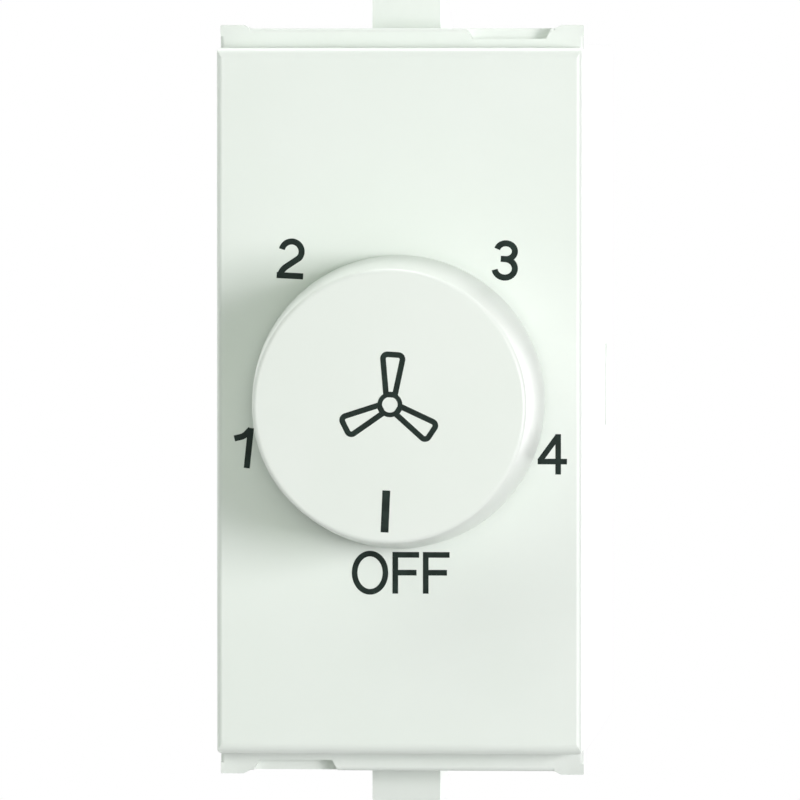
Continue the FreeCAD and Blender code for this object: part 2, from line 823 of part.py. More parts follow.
def make_terminal_screw():
    """A slotted clamping screw, drawn back so that the wire bore is open."""
    head_back = screw_head_front + screw_head_height
    screw = turned([
        (0, screw_tip, 0),
        (screw_radius, screw_tip, screw_tip_rounding),
        (screw_radius, screw_head_front, 0),
        (screw_head_radius, screw_head_front, 0),
        (screw_head_radius, head_back, soft_round),
        (0, head_back, 0),
    ])
    slot = box((-screw_head_radius - past, screw_head_radius + past),
               (head_back - screw_slot_depth, head_back + past),
               (-screw_slot_width / 2, screw_slot_width / 2))
    return moved(screw.cut(slot), 0, 0, terminal_z).removeSplitter()


def make_all():
    """Every piece by its name."""
    terminal = make_terminal()
    screw = make_terminal_screw()
    pieces = {
        "face_plate": make_face_plate(),
        "knob": make_knob(),
        "knob_spring_clip": make_knob_spring_clip(),
        "housing": make_housing(),
        "rear_cover": make_rear_cover(),
        "switch_body": make_switch_body(),
        "rotor_shaft": make_rotor_shaft(),
        "detent_leaf": make_detent_leaf(),
        "wiper": make_wiper(),
        "circuit_board": make_circuit_board(),
        "contact_common": make_contact_common(),
        "board_rivets": make_board_rivets(),
        "capacitor_large": make_capacitor(large_capacitor_foot, capacitor_reach, large_pin_inset),
        "capacitor_small": make_capacitor(-capacitor_reach, small_capacitor_top, small_pin_inset),
        "terminal_line": terminal,
        "terminal_load": spin(terminal, 180),
        "terminal_screw_line": screw,
        "terminal_screw_load": spin(screw, 180),
    }
    for step in range(1, step_count + 1):
        pieces[f"contact_step_{step}"] = make_contact_step(step)
    for name, z, radius, length in lead_places():
        pieces[name] = make_resistor(z, radius, length)
    return pieces


os.makedirs("parts", exist_ok=True)
for name, shape in make_all().items():
    solids = shape.Solids
    whole = solids[0] if len(solids) == 1 else Part.makeCompound(solids)
    whole.exportStep(f"parts/{name}.step")
    size = whole.BoundBox
    print(f"{name}: {len(solids)} solid, valid {whole.isValid()}, "
          f"X {size.XMin:.2f} {size.XMax:.2f}, Y {size.YMin:.2f} {size.YMax:.2f}, "
          f"Z {size.ZMin:.2f} {size.ZMax:.2f}")
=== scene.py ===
"""Looks of a one-module fan speed control: finishes, print, knob, screws and board work.

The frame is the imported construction's, in metres: the front looks along -Y, +X is to the right, +Z is
up, and the knob turns about the Y axis. The sub-assemblies hold their sizes in millimetres and scale a
surface to metres when it becomes a piece.
"""

import logging
import math
from dataclasses import dataclass, field
from enum import Enum
from functools import cached_property
from typing import Sequence

import bmesh
import bpy
import numpy as np
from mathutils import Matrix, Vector

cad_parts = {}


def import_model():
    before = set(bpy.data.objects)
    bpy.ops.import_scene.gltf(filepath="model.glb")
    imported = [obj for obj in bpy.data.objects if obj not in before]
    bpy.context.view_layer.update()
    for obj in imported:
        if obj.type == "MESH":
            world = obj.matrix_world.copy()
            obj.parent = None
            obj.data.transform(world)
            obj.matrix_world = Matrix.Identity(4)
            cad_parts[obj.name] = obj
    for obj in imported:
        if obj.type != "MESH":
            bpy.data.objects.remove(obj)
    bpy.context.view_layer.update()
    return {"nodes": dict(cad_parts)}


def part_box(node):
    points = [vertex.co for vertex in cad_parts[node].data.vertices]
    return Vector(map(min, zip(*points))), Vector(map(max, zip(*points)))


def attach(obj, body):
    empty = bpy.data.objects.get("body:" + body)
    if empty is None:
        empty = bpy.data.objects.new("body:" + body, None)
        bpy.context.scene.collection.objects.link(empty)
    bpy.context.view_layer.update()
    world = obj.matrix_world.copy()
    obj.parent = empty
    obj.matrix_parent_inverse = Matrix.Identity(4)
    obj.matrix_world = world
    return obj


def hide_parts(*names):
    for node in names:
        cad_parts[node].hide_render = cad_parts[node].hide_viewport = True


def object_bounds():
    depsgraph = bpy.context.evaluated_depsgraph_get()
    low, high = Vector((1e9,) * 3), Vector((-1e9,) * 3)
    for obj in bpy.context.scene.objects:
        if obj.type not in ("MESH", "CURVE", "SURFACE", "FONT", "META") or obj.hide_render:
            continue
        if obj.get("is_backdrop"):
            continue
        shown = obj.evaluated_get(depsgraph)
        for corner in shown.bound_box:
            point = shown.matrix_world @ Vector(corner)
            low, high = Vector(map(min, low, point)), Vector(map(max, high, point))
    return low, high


MM = 0.001
FULL_TURN = 2 * math.pi

# Vertices closer than this, in metres, are one; edges that turn by more than this, in radians, stay sharp.
SAME_POINT = 1e-8
SHARP_EDGE = math.radians(35.0)

Colour = tuple[float, float, float]
Triple = tuple[float, float, float]
Place = tuple[float, float]
Material = bpy.types.Material
Node = bpy.types.Node
NodeTree = bpy.types.NodeTree
Object = bpy.types.Object
Nodes = dict[str, Object]
Socket = bpy.types.NodeSocket

# Sockets of a Mix node that blends colours.
MIX_FACTOR, MIX_LOW, MIX_HIGH, MIX_RESULT = 0, 6, 7, 2

TIN: Colour = (0.66, 0.65, 0.62)

log = logging.getLogger("fan_speed_control")


@dataclass
class Surface:
    """A closed surface or several: vertices, with their quads and triangles.

    Attributes:
        vertices: places of the vertices, one row of three numbers each.
        quads: vertex numbers of the four-sided faces.
        triangles: vertex numbers of the three-sided faces.
    """

    vertices: np.ndarray
    quads: np.ndarray
    triangles: np.ndarray = field(default_factory=lambda: np.zeros((0, 3), int))

    def repeated(self, offsets: np.ndarray) -> "Surface":
        """Copies of the surface, one at each offset.

        Args:
            offsets: shifts in the vertices' unit, one row of three numbers each.

        Returns:
            One surface that holds every copy.
        """
        count = len(self.vertices)
        steps = np.arange(len(offsets))[:, None, None] * count
        return Surface(
            (self.vertices[None] + offsets[:, None]).reshape(-1, 3),
            (self.quads[None] + steps).reshape(-1, 4),
            (self.triangles[None] + steps).reshape(-1, 3),
        )

    def turned_about_y(self, angle: float) -> "Surface":
        """A copy turned about the Y axis.

        The point (x, y, z) goes to (c x + s z, y, c z - s x), where c and s are the angle's cosine and sine.

        Args:
            angle: how far it turns, clockwise as the front is seen, in radians.

        Returns:
            The turned copy.
        """
        c, s = math.cos(angle), math.sin(angle)
        turn = np.array([[c, 0, s], [0, 1, 0], [-s, 0, c]])
        return Surface(self.vertices @ turn.T, self.quads, self.triangles)

    def in_metres(self, shift: Triple = (0.0, 0.0, 0.0)) -> "Surface":
        """A copy scaled from millimetres to metres, then shifted by (x, y, z) in metres."""
        return Surface(self.vertices * MM + np.array(shift), self.quads, self.triangles)


def joined(surfaces: Sequence[Surface]) -> Surface:
    """Several surfaces as one.

    Args:
        surfaces: the surfaces to put together.

    Returns:
        One surface with all vertices and faces.
    """
    starts = np.cumsum([0] + [len(s.vertices) for s in surfaces[:-1]])
    return Surface(
        np.concatenate([s.vertices for s in surfaces]),
        np.concatenate([s.quads + start for s, start in zip(surfaces, starts)]),
        np.concatenate([s.triangles + start for s, start in zip(surfaces, starts)]),
    )


def grid_surface(points: np.ndarray, wrap_rows: bool, wrap_columns: bool, caps: bool = False) -> Surface:
    """Quads between the neighbours of a grid of points.

    The point in row i and column j has the number i times the columns plus j. Each quad takes a point,
    the next one in its row and the same two of the next row. A cap joins the middle of an end row to
    each edge of that row.

    Args:
        points: array of rows by columns by three numbers.
        wrap_rows: whether the last row joins the first.
        wrap_columns: whether the last column joins the first.
        caps: whether the first and the last row are closed to their middle points.

    Returns:
        The surface.
    """
    rows, columns = points.shape[:2]
    i, j = np.meshgrid(
        np.arange(rows if wrap_rows else rows - 1),
        np.arange(columns if wrap_columns else columns - 1),
        indexing="ij",
    )
    after_i, after_j = (i + 1) % rows, (j + 1) % columns
    quads = np.stack(
        [i * columns + j, i * columns + after_j, after_i * columns + after_j, after_i * columns + j], axis=-1
    ).reshape(-1, 4)
    vertices = points.reshape(-1, 3)
    if not caps:
        return Surface(vertices, quads)
    ring = np.arange(columns)
    after = (ring + 1) % columns
    middle = rows * columns
    first = np.stack([np.full(columns, middle), after, ring], axis=-1)
    last_ring = (rows - 1) * columns
    last = np.stack([np.full(columns, middle + 1), last_ring + ring, last_ring + after], axis=-1)
    ends = np.stack([points[0].mean(axis=0), points[-1].mean(axis=0)])
    return Surface(np.concatenate([vertices, ends]), quads, np.concatenate([first, last]))


def rounded(corners: Sequence[Triple], closed: bool, steps: int = 8) -> np.ndarray:
    """A line through corners, each one rounded by its radius.

    At a corner, the arc starts and ends at the radius divided by the tangent of half the corner's angle,
    and its centre lies on the line that halves the angle.

    Args:
        corners: places and radii (u, v, radius), all in one unit.
        closed: whether the last corner joins the first.
        steps: points on each arc, less one.

    Returns:
        Points (u, v) in the unit of the corners.
    """
    places = np.array([(u, v) for u, v, _ in corners], float)
    share = np.linspace(0.0, 1.0, steps + 1)[:, None]
    points: list[np.ndarray] = []
    for i, (u, v, radius) in enumerate(corners):
        here = places[i]
        is_end = not closed and i in (0, len(corners) - 1)
        if radius <= 0 or is_end:
            points.append(here[None])
            continue
        back = places[i - 1] - here
        ahead = places[(i + 1) % len(corners)] - here
        back, ahead = back / np.linalg.norm(back), ahead / np.linalg.norm(ahead)
        half = math.acos(float(np.clip(back @ ahead, -1, 1))) / 2
        middle = (back + ahead) / np.linalg.norm(back + ahead)
        centre = here + middle * radius / math.sin(half)
        start = here + back * radius / math.tan(half) - centre
        end = here + ahead * radius / math.tan(half) - centre
        sweep = math.pi - 2 * half
        arc = (np.sin((1 - share) * sweep) * start + np.sin(share * sweep) * end) / math.sin(sweep)
        points.append(centre + arc)
    return np.concatenate(points)


def lathe(profile: np.ndarray, segments: int) -> Surface:
    """A surface of revolution about the Y axis.

    The profile's point (radius, y) goes round to (radius times sine, y, radius times cosine) of each
    angle. A profile that starts and ends on the axis closes at its two poles.

    Args:
        profile: points (radius, y).
        segments: steps round the turn.

    Returns:
        The surface.
    """
    angles = np.linspace(0, FULL_TURN, segments, endpoint=False)
    radius, y = profile[:, 0, None], profile[:, 1, None]
    points = np.stack([radius * np.sin(angles), y + 0 * angles, radius * np.cos(angles)], axis=-1)
    return grid_surface(points, wrap_rows=False, wrap_columns=True)


def layered(outline: np.ndarray, y: tuple[float, float]) -> Surface:
    """A flat shape of one convex outline (x, z), carried along Y between two places."""
    layers = [np.stack([outline[:, 0], np.full(len(outline), level), outline[:, 1]], axis=-1) for level in y]
    return grid_surface(np.stack(layers), wrap_rows=False, wrap_columns=True, caps=True)


def piece(name: str, surface: Surface, material: Material, body: str) -> Object:
    """A finished object of the part, with its place in its mesh.

    Args:
        name: the piece's name.
        surface: its faces in metres, closed.
        material: its finish.
        body: the body that it rides on.

    Returns:
        The object, riding on its body.
    """
    mesh = bpy.data.meshes.new(name)
    mesh.from_pydata(surface.vertices.tolist(), [], surface.quads.tolist() + surface.triangles.tolist())
    work = bmesh.new()
    work.from_mesh(mesh)
    bmesh.ops.remove_doubles(work, verts=work.verts, dist=SAME_POINT)
    bmesh.ops.recalc_face_normals(work, faces=work.faces)
    work.to_mesh(mesh)
    work.free()
    mesh.polygons.foreach_set("use_smooth", np.ones(len(mesh.polygons), bool))
    mesh.set_sharp_from_angle(angle=SHARP_EDGE)
    mesh.materials.append(material)
    made = bpy.data.objects.new(name, mesh)
    bpy.context.scene.collection.objects.link(made)
    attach(made, body)
    log.info("%s: %d faces on body %s", name, len(mesh.polygons), body)
    return made


def finish_node(node: Object, material: Material) -> None:
    """Give a construction node its finish in every material slot.

    Args:
        node: the node's object.
        material: its finish.
    """
    if not node.material_slots:
        node.data.materials.append(material)
    for slot in node.material_slots:
        slot.material = material
    log.info("%s: finish %s", node.name, material.name)


class Graph:
    """A node tree with short ways to add and join nodes. A value is a number, a colour or a socket."""

    def __init__(self, tree: NodeTree) -> None:
        """Keep the tree that the nodes go into."""
        self.tree = tree

    def node(self, kind: str, **settings: object) -> Node:
        """A new node.

        Args:
            kind: the node's type.
            settings: values of its properties.

        Returns:
            The node.
        """
        made = self.tree.nodes.new(kind)
        for name, value in settings.items():
            setattr(made, name, value)
        return made

    def feed(self, target: Socket, value: object) -> None:
        """Link an input to a socket, or set its value.

        Args:
            target: the input.
            value: the socket to link, or the value to set.
        """
        if isinstance(value, Socket):
            self.tree.links.new(value, target)
        else:
            target.default_value = value

    def fill(self, node: Node, **values: object) -> None:
        """Feed a node's inputs, each named with underscores for its spaces."""
        for name, value in values.items():
            self.feed(node.inputs[name.replace("_", " ")], value)

    def math(self, operation: str, *values: object) -> Socket:
        """The result of a Math node.

        Args:
            operation: what it does.
            values: as many as the operation takes.

        Returns:
            The result's socket.
        """
        made = self.node("ShaderNodeMath", operation=operation)
        for socket, value in zip(made.inputs, values):
            self.feed(socket, value)
        return made.outputs[0]

    def ramp(self, value: object, low: object, high: object, start: float = 0.0, end: float = 1.0) -> Socket:
        """A value mapped smoothly from low..high to start..end.

        Args:
            value: what is mapped.
            low: where the ramp starts.
            high: where it ends.
            start: the result up to low.
            end: the result from high on.

        Returns:
            The result's socket.
        """
        made = self.node("ShaderNodeMapRange", interpolation_type="SMOOTHSTEP")
        self.fill(made, Value=value, From_Min=low, From_Max=high, To_Min=start, To_Max=end)
        return made.outputs["Result"]

    def blend(self, factor: object, low: object, high: object) -> Socket:
        """A colour between two.

        Args:
            factor: 0 for the first colour, 1 for the second.
            low: the first colour.
            high: the second colour.

        Returns:
            The colour's socket.
        """
        made = self.node("ShaderNodeMix", data_type="RGBA", clamp_factor=True)
        for index, value in ((MIX_FACTOR, factor), (MIX_LOW, low), (MIX_HIGH, high)):
            self.feed(made.inputs[index], (*value, 1.0) if isinstance(value, tuple) else value)
        return made.outputs[MIX_RESULT]

    def noise(self, vector: Socket, scale: object, detail: float, roughness: float = 0.5) -> Socket:
        """A three-dimensional noise about one half.

        Args:
            vector: the coordinates that it follows.
            scale: how many waves it has to the metre.
            detail: how many finer waves lie over them.
            roughness: how strong the finer waves are.

        Returns:
            The noise's socket.
        """
        made = self.node("ShaderNodeTexNoise")
        self.fill(made, Vector=vector, Scale=scale, Detail=detail, Roughness=roughness)
        return made.outputs[0]

    def split(self, vector: Socket) -> tuple[Socket, Socket, Socket]:
        """The X, Y and Z of a vector.

        Args:
            vector: the vector's socket.

        Returns:
            The three sockets.
        """
        made = self.node("ShaderNodeSeparateXYZ")
        self.feed(made.inputs[0], vector)
        x, y, z = made.outputs
        return x, y, z

    def combined(self, *values: object) -> Socket:
        """A vector of up to three values.

        Args:
            values: its X, Y and Z; what is left out is 0.

        Returns:
            The vector's socket.
        """
        made = self.node("ShaderNodeCombineXYZ")
        for socket, value in zip(made.inputs, values):
            self.feed(socket, value)
        return made.outputs[0]


class GroupKit:
    """The node groups that several finishes share, each built when it is first asked for."""

    @staticmethod
    def start(name: str, values: dict[str, float], results: Sequence[str]) -> tuple[Graph, Node, Node]:
        """A new group with a Vector input, number inputs and number outputs.

        Args:
            name: the group's name.
            values: names and usual values of its number inputs.
            results: names of its outputs.

        Returns:
            The group's graph, its input node and its output node.
        """
        tree = bpy.data.node_groups.new(name, "ShaderNodeTree")
        tree.interface.new_socket("Vector", in_out="INPUT", socket_type="NodeSocketVector")
        for label, usual in values.items():
            socket = tree.interface.new_socket(label, in_out="INPUT", socket_type="NodeSocketFloat")
            socket.default_value = usual
        for label in results:
            tree.interface.new_socket(label, in_out="OUTPUT", socket_type="NodeSocketFloat")
        graph = Graph(tree)
        return graph, graph.node("NodeGroupInput"), graph.node("NodeGroupOutput")

    @cached_property
    def mould_grain(self) -> NodeTree:
        """Moulded plastic: a fine sparked grain over broad, faint flow.

        The height is the grain plus a share of the flow. The tone follows the flow. The shine swings
        about its roughness with both.

        Returns:
            The group's tree.
        """
        graph, given, out = self.start(
            "mould_grain",
            {"Grain": 6000.0, "Flow": 120.0, "Flow Relief": 0.5, "Roughness": 0.4, "Spread": 0.05},
            ["Height", "Tone", "Roughness"],
        )
        source = given.outputs
        fine = graph.noise(source["Vector"], source["Grain"], detail=3.0, roughness=0.6)
        broad = graph.noise(source["Vector"], source["Flow"], detail=2.0)
        height = graph.math("ADD", fine, graph.math("MULTIPLY", broad, source["Flow Relief"]))
        swing = graph.math("SUBTRACT", graph.math("MULTIPLY_ADD", fine, 0.5, broad), 0.75)
        shine = graph.math("MULTIPLY_ADD", swing, source["Spread"], source["Roughness"])
        graph.fill(out, Height=height, Tone=graph.ramp(broad, 0.3, 0.7), Roughness=shine)
        return graph.tree

    @cached_property
    def metal_grain(self) -> NodeTree:
        """Rolled, drawn or machined metal, and fibrous sheet: fine lines along one axis, with stains.

        The lines are noise that is drawn out along the vector's X. The tone follows the stains and a
        little of the lines. The shine swings about its roughness with both.

        Returns:
            The group's tree.
        """
        graph, given, out = self.start(
            "metal_grain",
            {"Lines": 9000.0, "Along": 0.04, "Stains": 400.0, "Roughness": 0.3, "Spread": 0.2},
            ["Height", "Tone", "Roughness"],
        )
        source = given.outputs
        x, y, z = graph.split(source["Vector"])
        drawn = graph.combined(graph.math("MULTIPLY", x, source["Along"]), y, z)
        lines = graph.noise(drawn, source["Lines"], detail=2.0)
        stains = graph.noise(source["Vector"], source["Stains"], detail=4.0, roughness=0.65)
        tone = graph.ramp(graph.math("MULTIPLY_ADD", lines, 0.3, stains), 0.45, 0.85)
        swing = graph.math("SUBTRACT", graph.math("ADD", stains, lines), 1.0)
        shine = graph.math("MULTIPLY_ADD", swing, source["Spread"], source["Roughness"])
        graph.fill(out, Height=lines, Tone=tone, Roughness=shine)
        return graph.tree

    @cached_property
    def stripe(self) -> NodeTree:
        """A mask that is 1 within a half width of a centre along the vector's X, with a soft edge.

        Returns:
            The group's tree.
        """
        usual = {"Centre": 0.0, "Half Width": 0.5 * MM, "Edge": 0.05 * MM}
        graph, given, out = self.start("stripe", usual, ["Mask"])
        source = given.outputs
        x, _, _ = graph.split(source["Vector"])
        away = graph.math("ABSOLUTE", graph.math("SUBTRACT", x, source["Centre"]))
        rim = graph.math("ADD", source["Half Width"], source["Edge"])
        graph.fill(out, Mask=graph.ramp(away, source["Half Width"], rim, start=1.0, end=0.0))
        return graph.tree


class Axis(Enum):
    """The axis that is put first when coordinates change their order, with that order."""

    X = "xyz"
    Y = "yxz"
    Z = "zxy"


class Painter:
    """A material that is being made: its graph, its Principled shader and its Object coordinates."""

    def __init__(self, name: str, groups: GroupKit) -> None:
        """Make an empty material.

        Args:
            name: the material's name.
            groups: the shared node groups.
        """
        self.groups = groups
        self.material = bpy.data.materials.new(name)
        self.material.use_nodes = True
        self.graph = Graph(self.material.node_tree)
        self.shader = self.material.node_tree.nodes["Principled BSDF"]
        self.place = self.graph.node("ShaderNodeTexCoord").outputs["Object"]

    def dress(self, **values: object) -> None:
        """Feed the shader's inputs, each named with underscores for its spaces."""
        self.graph.fill(self.shader, **values)

    def group(self, tree: NodeTree, **values: object) -> Node:
        """A shared group placed in this material, on Object coordinates unless it is given a Vector.

        Args:
            tree: the group.
            values: what its inputs get, each named with underscores for its spaces.

        Returns:
            The group's node.
        """
        made = self.graph.node("ShaderNodeGroup", node_tree=tree)
        self.graph.fill(made, **{"Vector": self.place, **values})
        return made

    def relief(self, height: Socket, depth: float) -> None:
        """Bump the surface.

        Args:
            height: the relief's height.
            depth: how far a height of 1 stands out, in metres.
        """
        bump = self.graph.node("ShaderNodeBump")
        self.graph.fill(bump, Height=height, Distance=depth, Strength=1.0)
        self.dress(Normal=bump.outputs[0])

    def mask(self, vector: Socket, centre: float, half_width: float, edge: float) -> Socket:
        """A mask that is 1 on a stripe, with sizes in metres.

        Args:
            vector: coordinates whose X runs across the stripe.
            centre: the stripe's middle.
            half_width: half its width.
            edge: width of its soft edge.

        Returns:
            The mask's socket.
        """
        made = self.group(self.groups.stripe, Vector=vector, Centre=centre, Half_Width=half_width, Edge=edge)
        return made.outputs[0]

    def grained(self, tree: NodeTree, low: Colour, high: Colour, depth: float, **values: object) -> Socket:
        """Place a grain group, and feed its shine and its relief.

        Args:
            tree: the group, with a height, a tone and a roughness.
            low: the colour at tone 0.
            high: the colour at tone 1.
            depth: depth of the relief, in metres.
            values: what the group's inputs get, each named with underscores for its spaces.

        Returns:
            The colour, which is left to be fed.
        """
        grain = self.group(tree, **values)
        self.dress(Roughness=grain.outputs["Roughness"])
        self.relief(grain.outputs["Height"], depth)
        return self.graph.blend(grain.outputs["Tone"], low, high)

    def swapped(self, first: Axis) -> Socket:
        """The Object coordinates with one axis put first."""
        axes = dict(zip("xyz", self.graph.split(self.place)))
        return self.graph.combined(*(axes[axis] for axis in first.value))


@dataclass(frozen=True)
class Finish:
    """What the shader of one material is fed with. Sizes of finishes are in metres.

    Attributes:
        name: the material's name.
    """

    name: str

    def material(self, groups: GroupKit) -> Material:
        """The finished material.

        Args:
            groups: the shared node groups.

        Returns:
            A new material of the finish's name.
        """
        paint = Painter(self.name, groups)
        self.apply(paint)
        return paint.material

    def apply(self, paint: Painter) -> None:
        """Feed the material's shader, which each kind of finish does in its own way."""
        raise NotImplementedError


@dataclass(frozen=True)
class MouldedPlastic(Finish):
    """A moulded plastic finish.

    Attributes:
        colour: its colour where the flow is bright.
        shade: its colour where the flow is dark.
        roughness: how dull it is.
        grain: size of the sparked grain.
        grain_depth: depth of the grain's relief.
        spread: how far the shine varies.
    """

    colour: Colour
    shade: Colour
    roughness: float
    grain: float
    grain_depth: float
    spread: float = 0.06

    def coloured(self, paint: Painter) -> Socket:
        """Give a material the plastic's grain and shine; the colour is returned, and left to be fed."""
        values = {"Grain": 1 / self.grain, "Roughness": self.roughness, "Spread": self.spread}
        return paint.grained(paint.groups.mould_grain, self.shade, self.colour, self.grain_depth, **values)

    def apply(self, paint: Painter) -> None:
        """Feed the shader with the grain and the plastic's colour."""
        paint.dress(Base_Color=self.coloured(paint))


@dataclass(frozen=True)
class HousingPlastic(MouldedPlastic):
    """Moulded plastic of the housing and its rear cover, with the shaded joint line between them.

    Attributes:
        joint: where the two meet along Y.
        joint_half_width: half the width of the line.
        joint_edge: width of the line's soft edge.
        joint_colour: colour of the line.
    """

    joint: float = 39.175 * MM
    joint_half_width: float = 0.03 * MM
    joint_edge: float = 0.03 * MM
    joint_colour: Colour = (0.3, 0.33, 0.3)

    def apply(self, paint: Painter) -> None:
        """Feed the shader with the plastic, and shade its joint line.

        Args:
            paint: the material that is being made.
        """
        plastic = self.coloured(paint)
        line = paint.mask(paint.swapped(Axis.Y), self.joint, self.joint_half_width, self.joint_edge)
        paint.dress(Base_Color=paint.graph.blend(line, plastic, self.joint_colour))


@dataclass(frozen=True)
class Metal(Finish):
    """A metal finish.

    Attributes:
        colour: its bright colour.
        stain: its colour where it is dulled.
        roughness: how dull it is.
        draw: the axis that its fine lines run along.
        lines: spacing of the fine lines.
        depth: their depth.
    """

    colour: Colour
    stain: Colour
    roughness: float
    draw: Axis
    lines: float = 0.11 * MM
    depth: float = 0.002 * MM

    def apply(self, paint: Painter) -> None:
        """Feed the shader with the fine lines, their shine and the stains.

        Args:
            paint: the material that is being made.
        """
        values = {"Vector": paint.swapped(self.draw), "Lines": 1 / self.lines, "Roughness": self.roughness}
        colour = paint.grained(paint.groups.metal_grain, self.stain, self.colour, self.depth, **values)
        paint.dress(Base_Color=colour, Metallic=1.0)


@dataclass(frozen=True)
class Ink(Finish):
    """Pad-printed ink, a little uneven and matt.

    Attributes:
        name: the material's name.
        colour: its colour where it is thick.
        thin_colour: its colour where it is thin.
        shine: how strongly it reflects.
        roughness: how dull it is.
        spread: how far the shine varies.
        grain: waves of its fine unevenness, to the metre.
        flow: waves of its broad unevenness, to the metre.
        depth: depth of the unevenness.
    """

    name: str = "print_ink"
    colour: Colour = (0.006, 0.013, 0.01)
    thin_colour: Colour = (0.014, 0.026, 0.021)
    shine: float = 0.16
    roughness: float = 0.5
    spread: float = 0.2
    grain: float = 9000.0
    flow: float = 1500.0
    depth: float = 0.002 * MM

    def apply(self, paint: Painter) -> None:
        """Feed the shader with the uneven ink.

        Args:
            paint: the material that is being made.
        """
        colour = paint.grained(
            paint.groups.mould_grain,
            self.colour,
            self.thin_colour,
            self.depth,
            Grain=self.grain,
            Flow=self.flow,
            Roughness=self.roughness,
            Spread=self.spread,
        )
        paint.dress(Base_Color=colour, Specular_IOR_Level=self.shine)


class Band(Enum):
    """Colours of the resistors' bands."""

    BLACK = (0.015, 0.015, 0.015)
    BROWN = (0.11, 0.045, 0.02)
    RED = (0.45, 0.03, 0.02)
    YELLOW = (0.75, 0.58, 0.06)
    VIOLET = (0.16, 0.07, 0.3)
    GOLD = (0.5, 0.34, 0.1)


@dataclass(frozen=True)
class Resistor(Finish):
    """A lacquered resistor with colour bands and tinned leads.

    Attributes:
        half_length: half the body's length; the leads start there.
        bands: each band's place along X and its colour.
        band_half_width: half the width of a band.
        band_edge: width of a band's soft edge.
        body_edge: width of the lacquer's soft edge at the leads.
        lacquer: the body's own finish.
    """

    half_length: float
    bands: tuple[tuple[float, Band], ...]
    band_half_width: float
    band_edge: float = 0.04 * MM
    body_edge: float = 0.02 * MM
    lacquer: MouldedPlastic = MouldedPlastic(
        "resistor_lacquer", (0.36, 0.55, 0.62), (0.3, 0.47, 0.55), 0.3, 0.3 * MM, 0.004 * MM
    )

    def apply(self, paint: Painter) -> None:
        """Feed the shader with the lacquer and, over it, each band and the tin beyond the body.

        Args:
            paint: the material that is being made.
        """
        graph = paint.graph
        colour = self.lacquer.coloured(paint)
        for place, shown in self.bands:
            band = paint.mask(paint.place, place, self.band_half_width, self.band_edge)
            colour = graph.blend(band, colour, shown.value)
        body = paint.mask(paint.place, 0.0, self.half_length, self.body_edge)
        paint.dress(Base_Color=graph.blend(body, TIN, colour), Metallic=graph.math("SUBTRACT", 1.0, body))


@dataclass(frozen=True)
class BoxCapacitor(Finish):
    """A smooth box case that is potted at its foot, with tinned pins.

    Attributes:
        front: where the case starts along Y; the standoffs and the pins lie before it.
        half_width: half the case's width.
        rim: the case's wall round the potting.
        rim_edge: width of the potting's soft edge.
        foot: how far from the front a face still counts as the foot.
        pin_gap: how far before the front the tin ends.
        pin_half: half the length over which the pins are tinned.
        edge: width of the other soft edges.
        case: the case's own finish.
        potting: the potting's colour.
    """

    front: float
    half_width: float
    rim: float = 0.9 * MM
    rim_edge: float = 0.05 * MM
    foot: float = 0.03 * MM
    pin_gap: float = 0.3 * MM
    pin_half: float = 2.0 * MM
    edge: float = 0.02 * MM
    case: MouldedPlastic = MouldedPlastic(
        "capacitor_plastic", (0.66, 0.56, 0.1), (0.6, 0.49, 0.08), 0.28, 0.2 * MM, 0.003 * MM
    )
    potting: Colour = (0.24, 0.18, 0.08)

    def apply(self, paint: Painter) -> None:
        """Feed the shader with the case, the potting at its foot and the tin before it.

        Args:
            paint: the material that is being made.
        """
        graph = paint.graph
        plastic = self.case.coloured(paint)
        along = paint.swapped(Axis.Y)
        inside = paint.mask(paint.place, 0.0, self.half_width - self.rim, self.rim_edge)
        at_foot = paint.mask(along, self.front, self.foot, self.edge)
        colour = graph.blend(graph.math("MULTIPLY", inside, at_foot), plastic, self.potting)
        pin_middle = self.front - self.pin_gap - self.pin_half
        pins = paint.mask(along, pin_middle, self.pin_half, self.edge)
        paint.dress(Base_Color=graph.blend(pins, colour, TIN), Metallic=pins)


@dataclass(frozen=True)
class Laminate(Finish):
    """Brown paper laminate, with fibres that run along Z.

    Attributes:
        name: the material's name.
        colour: its colour between the fibres.
        fibre: its colour where fibres show.
        roughness: how dull it is.
        spread: how far the shine varies.
        lines: fibres to the metre.
        along: how much the fibres are drawn out; less is longer.
        depth: depth of the fibres' relief.
    """

    name: str = "board_laminate"
    colour: Colour = (0.45, 0.27, 0.1)
    fibre: Colour = (0.33, 0.18, 0.06)
    roughness: float = 0.5
    spread: float = 0.15
    lines: float = 5000.0
    along: float = 0.08
    depth: float = 0.006 * MM

    def apply(self, paint: Painter) -> None:
        """Feed the shader with the fibrous sheet.

        Args:
            paint: the material that is being made.
        """
        colour = paint.grained(
            paint.groups.metal_grain,
            self.fibre,
            self.colour,
            self.depth,
            Vector=paint.swapped(Axis.Z),
            Lines=self.lines,
            Along=self.along,
            Roughness=self.roughness,
            Spread=self.spread,
        )
        paint.dress(Base_Color=colour)


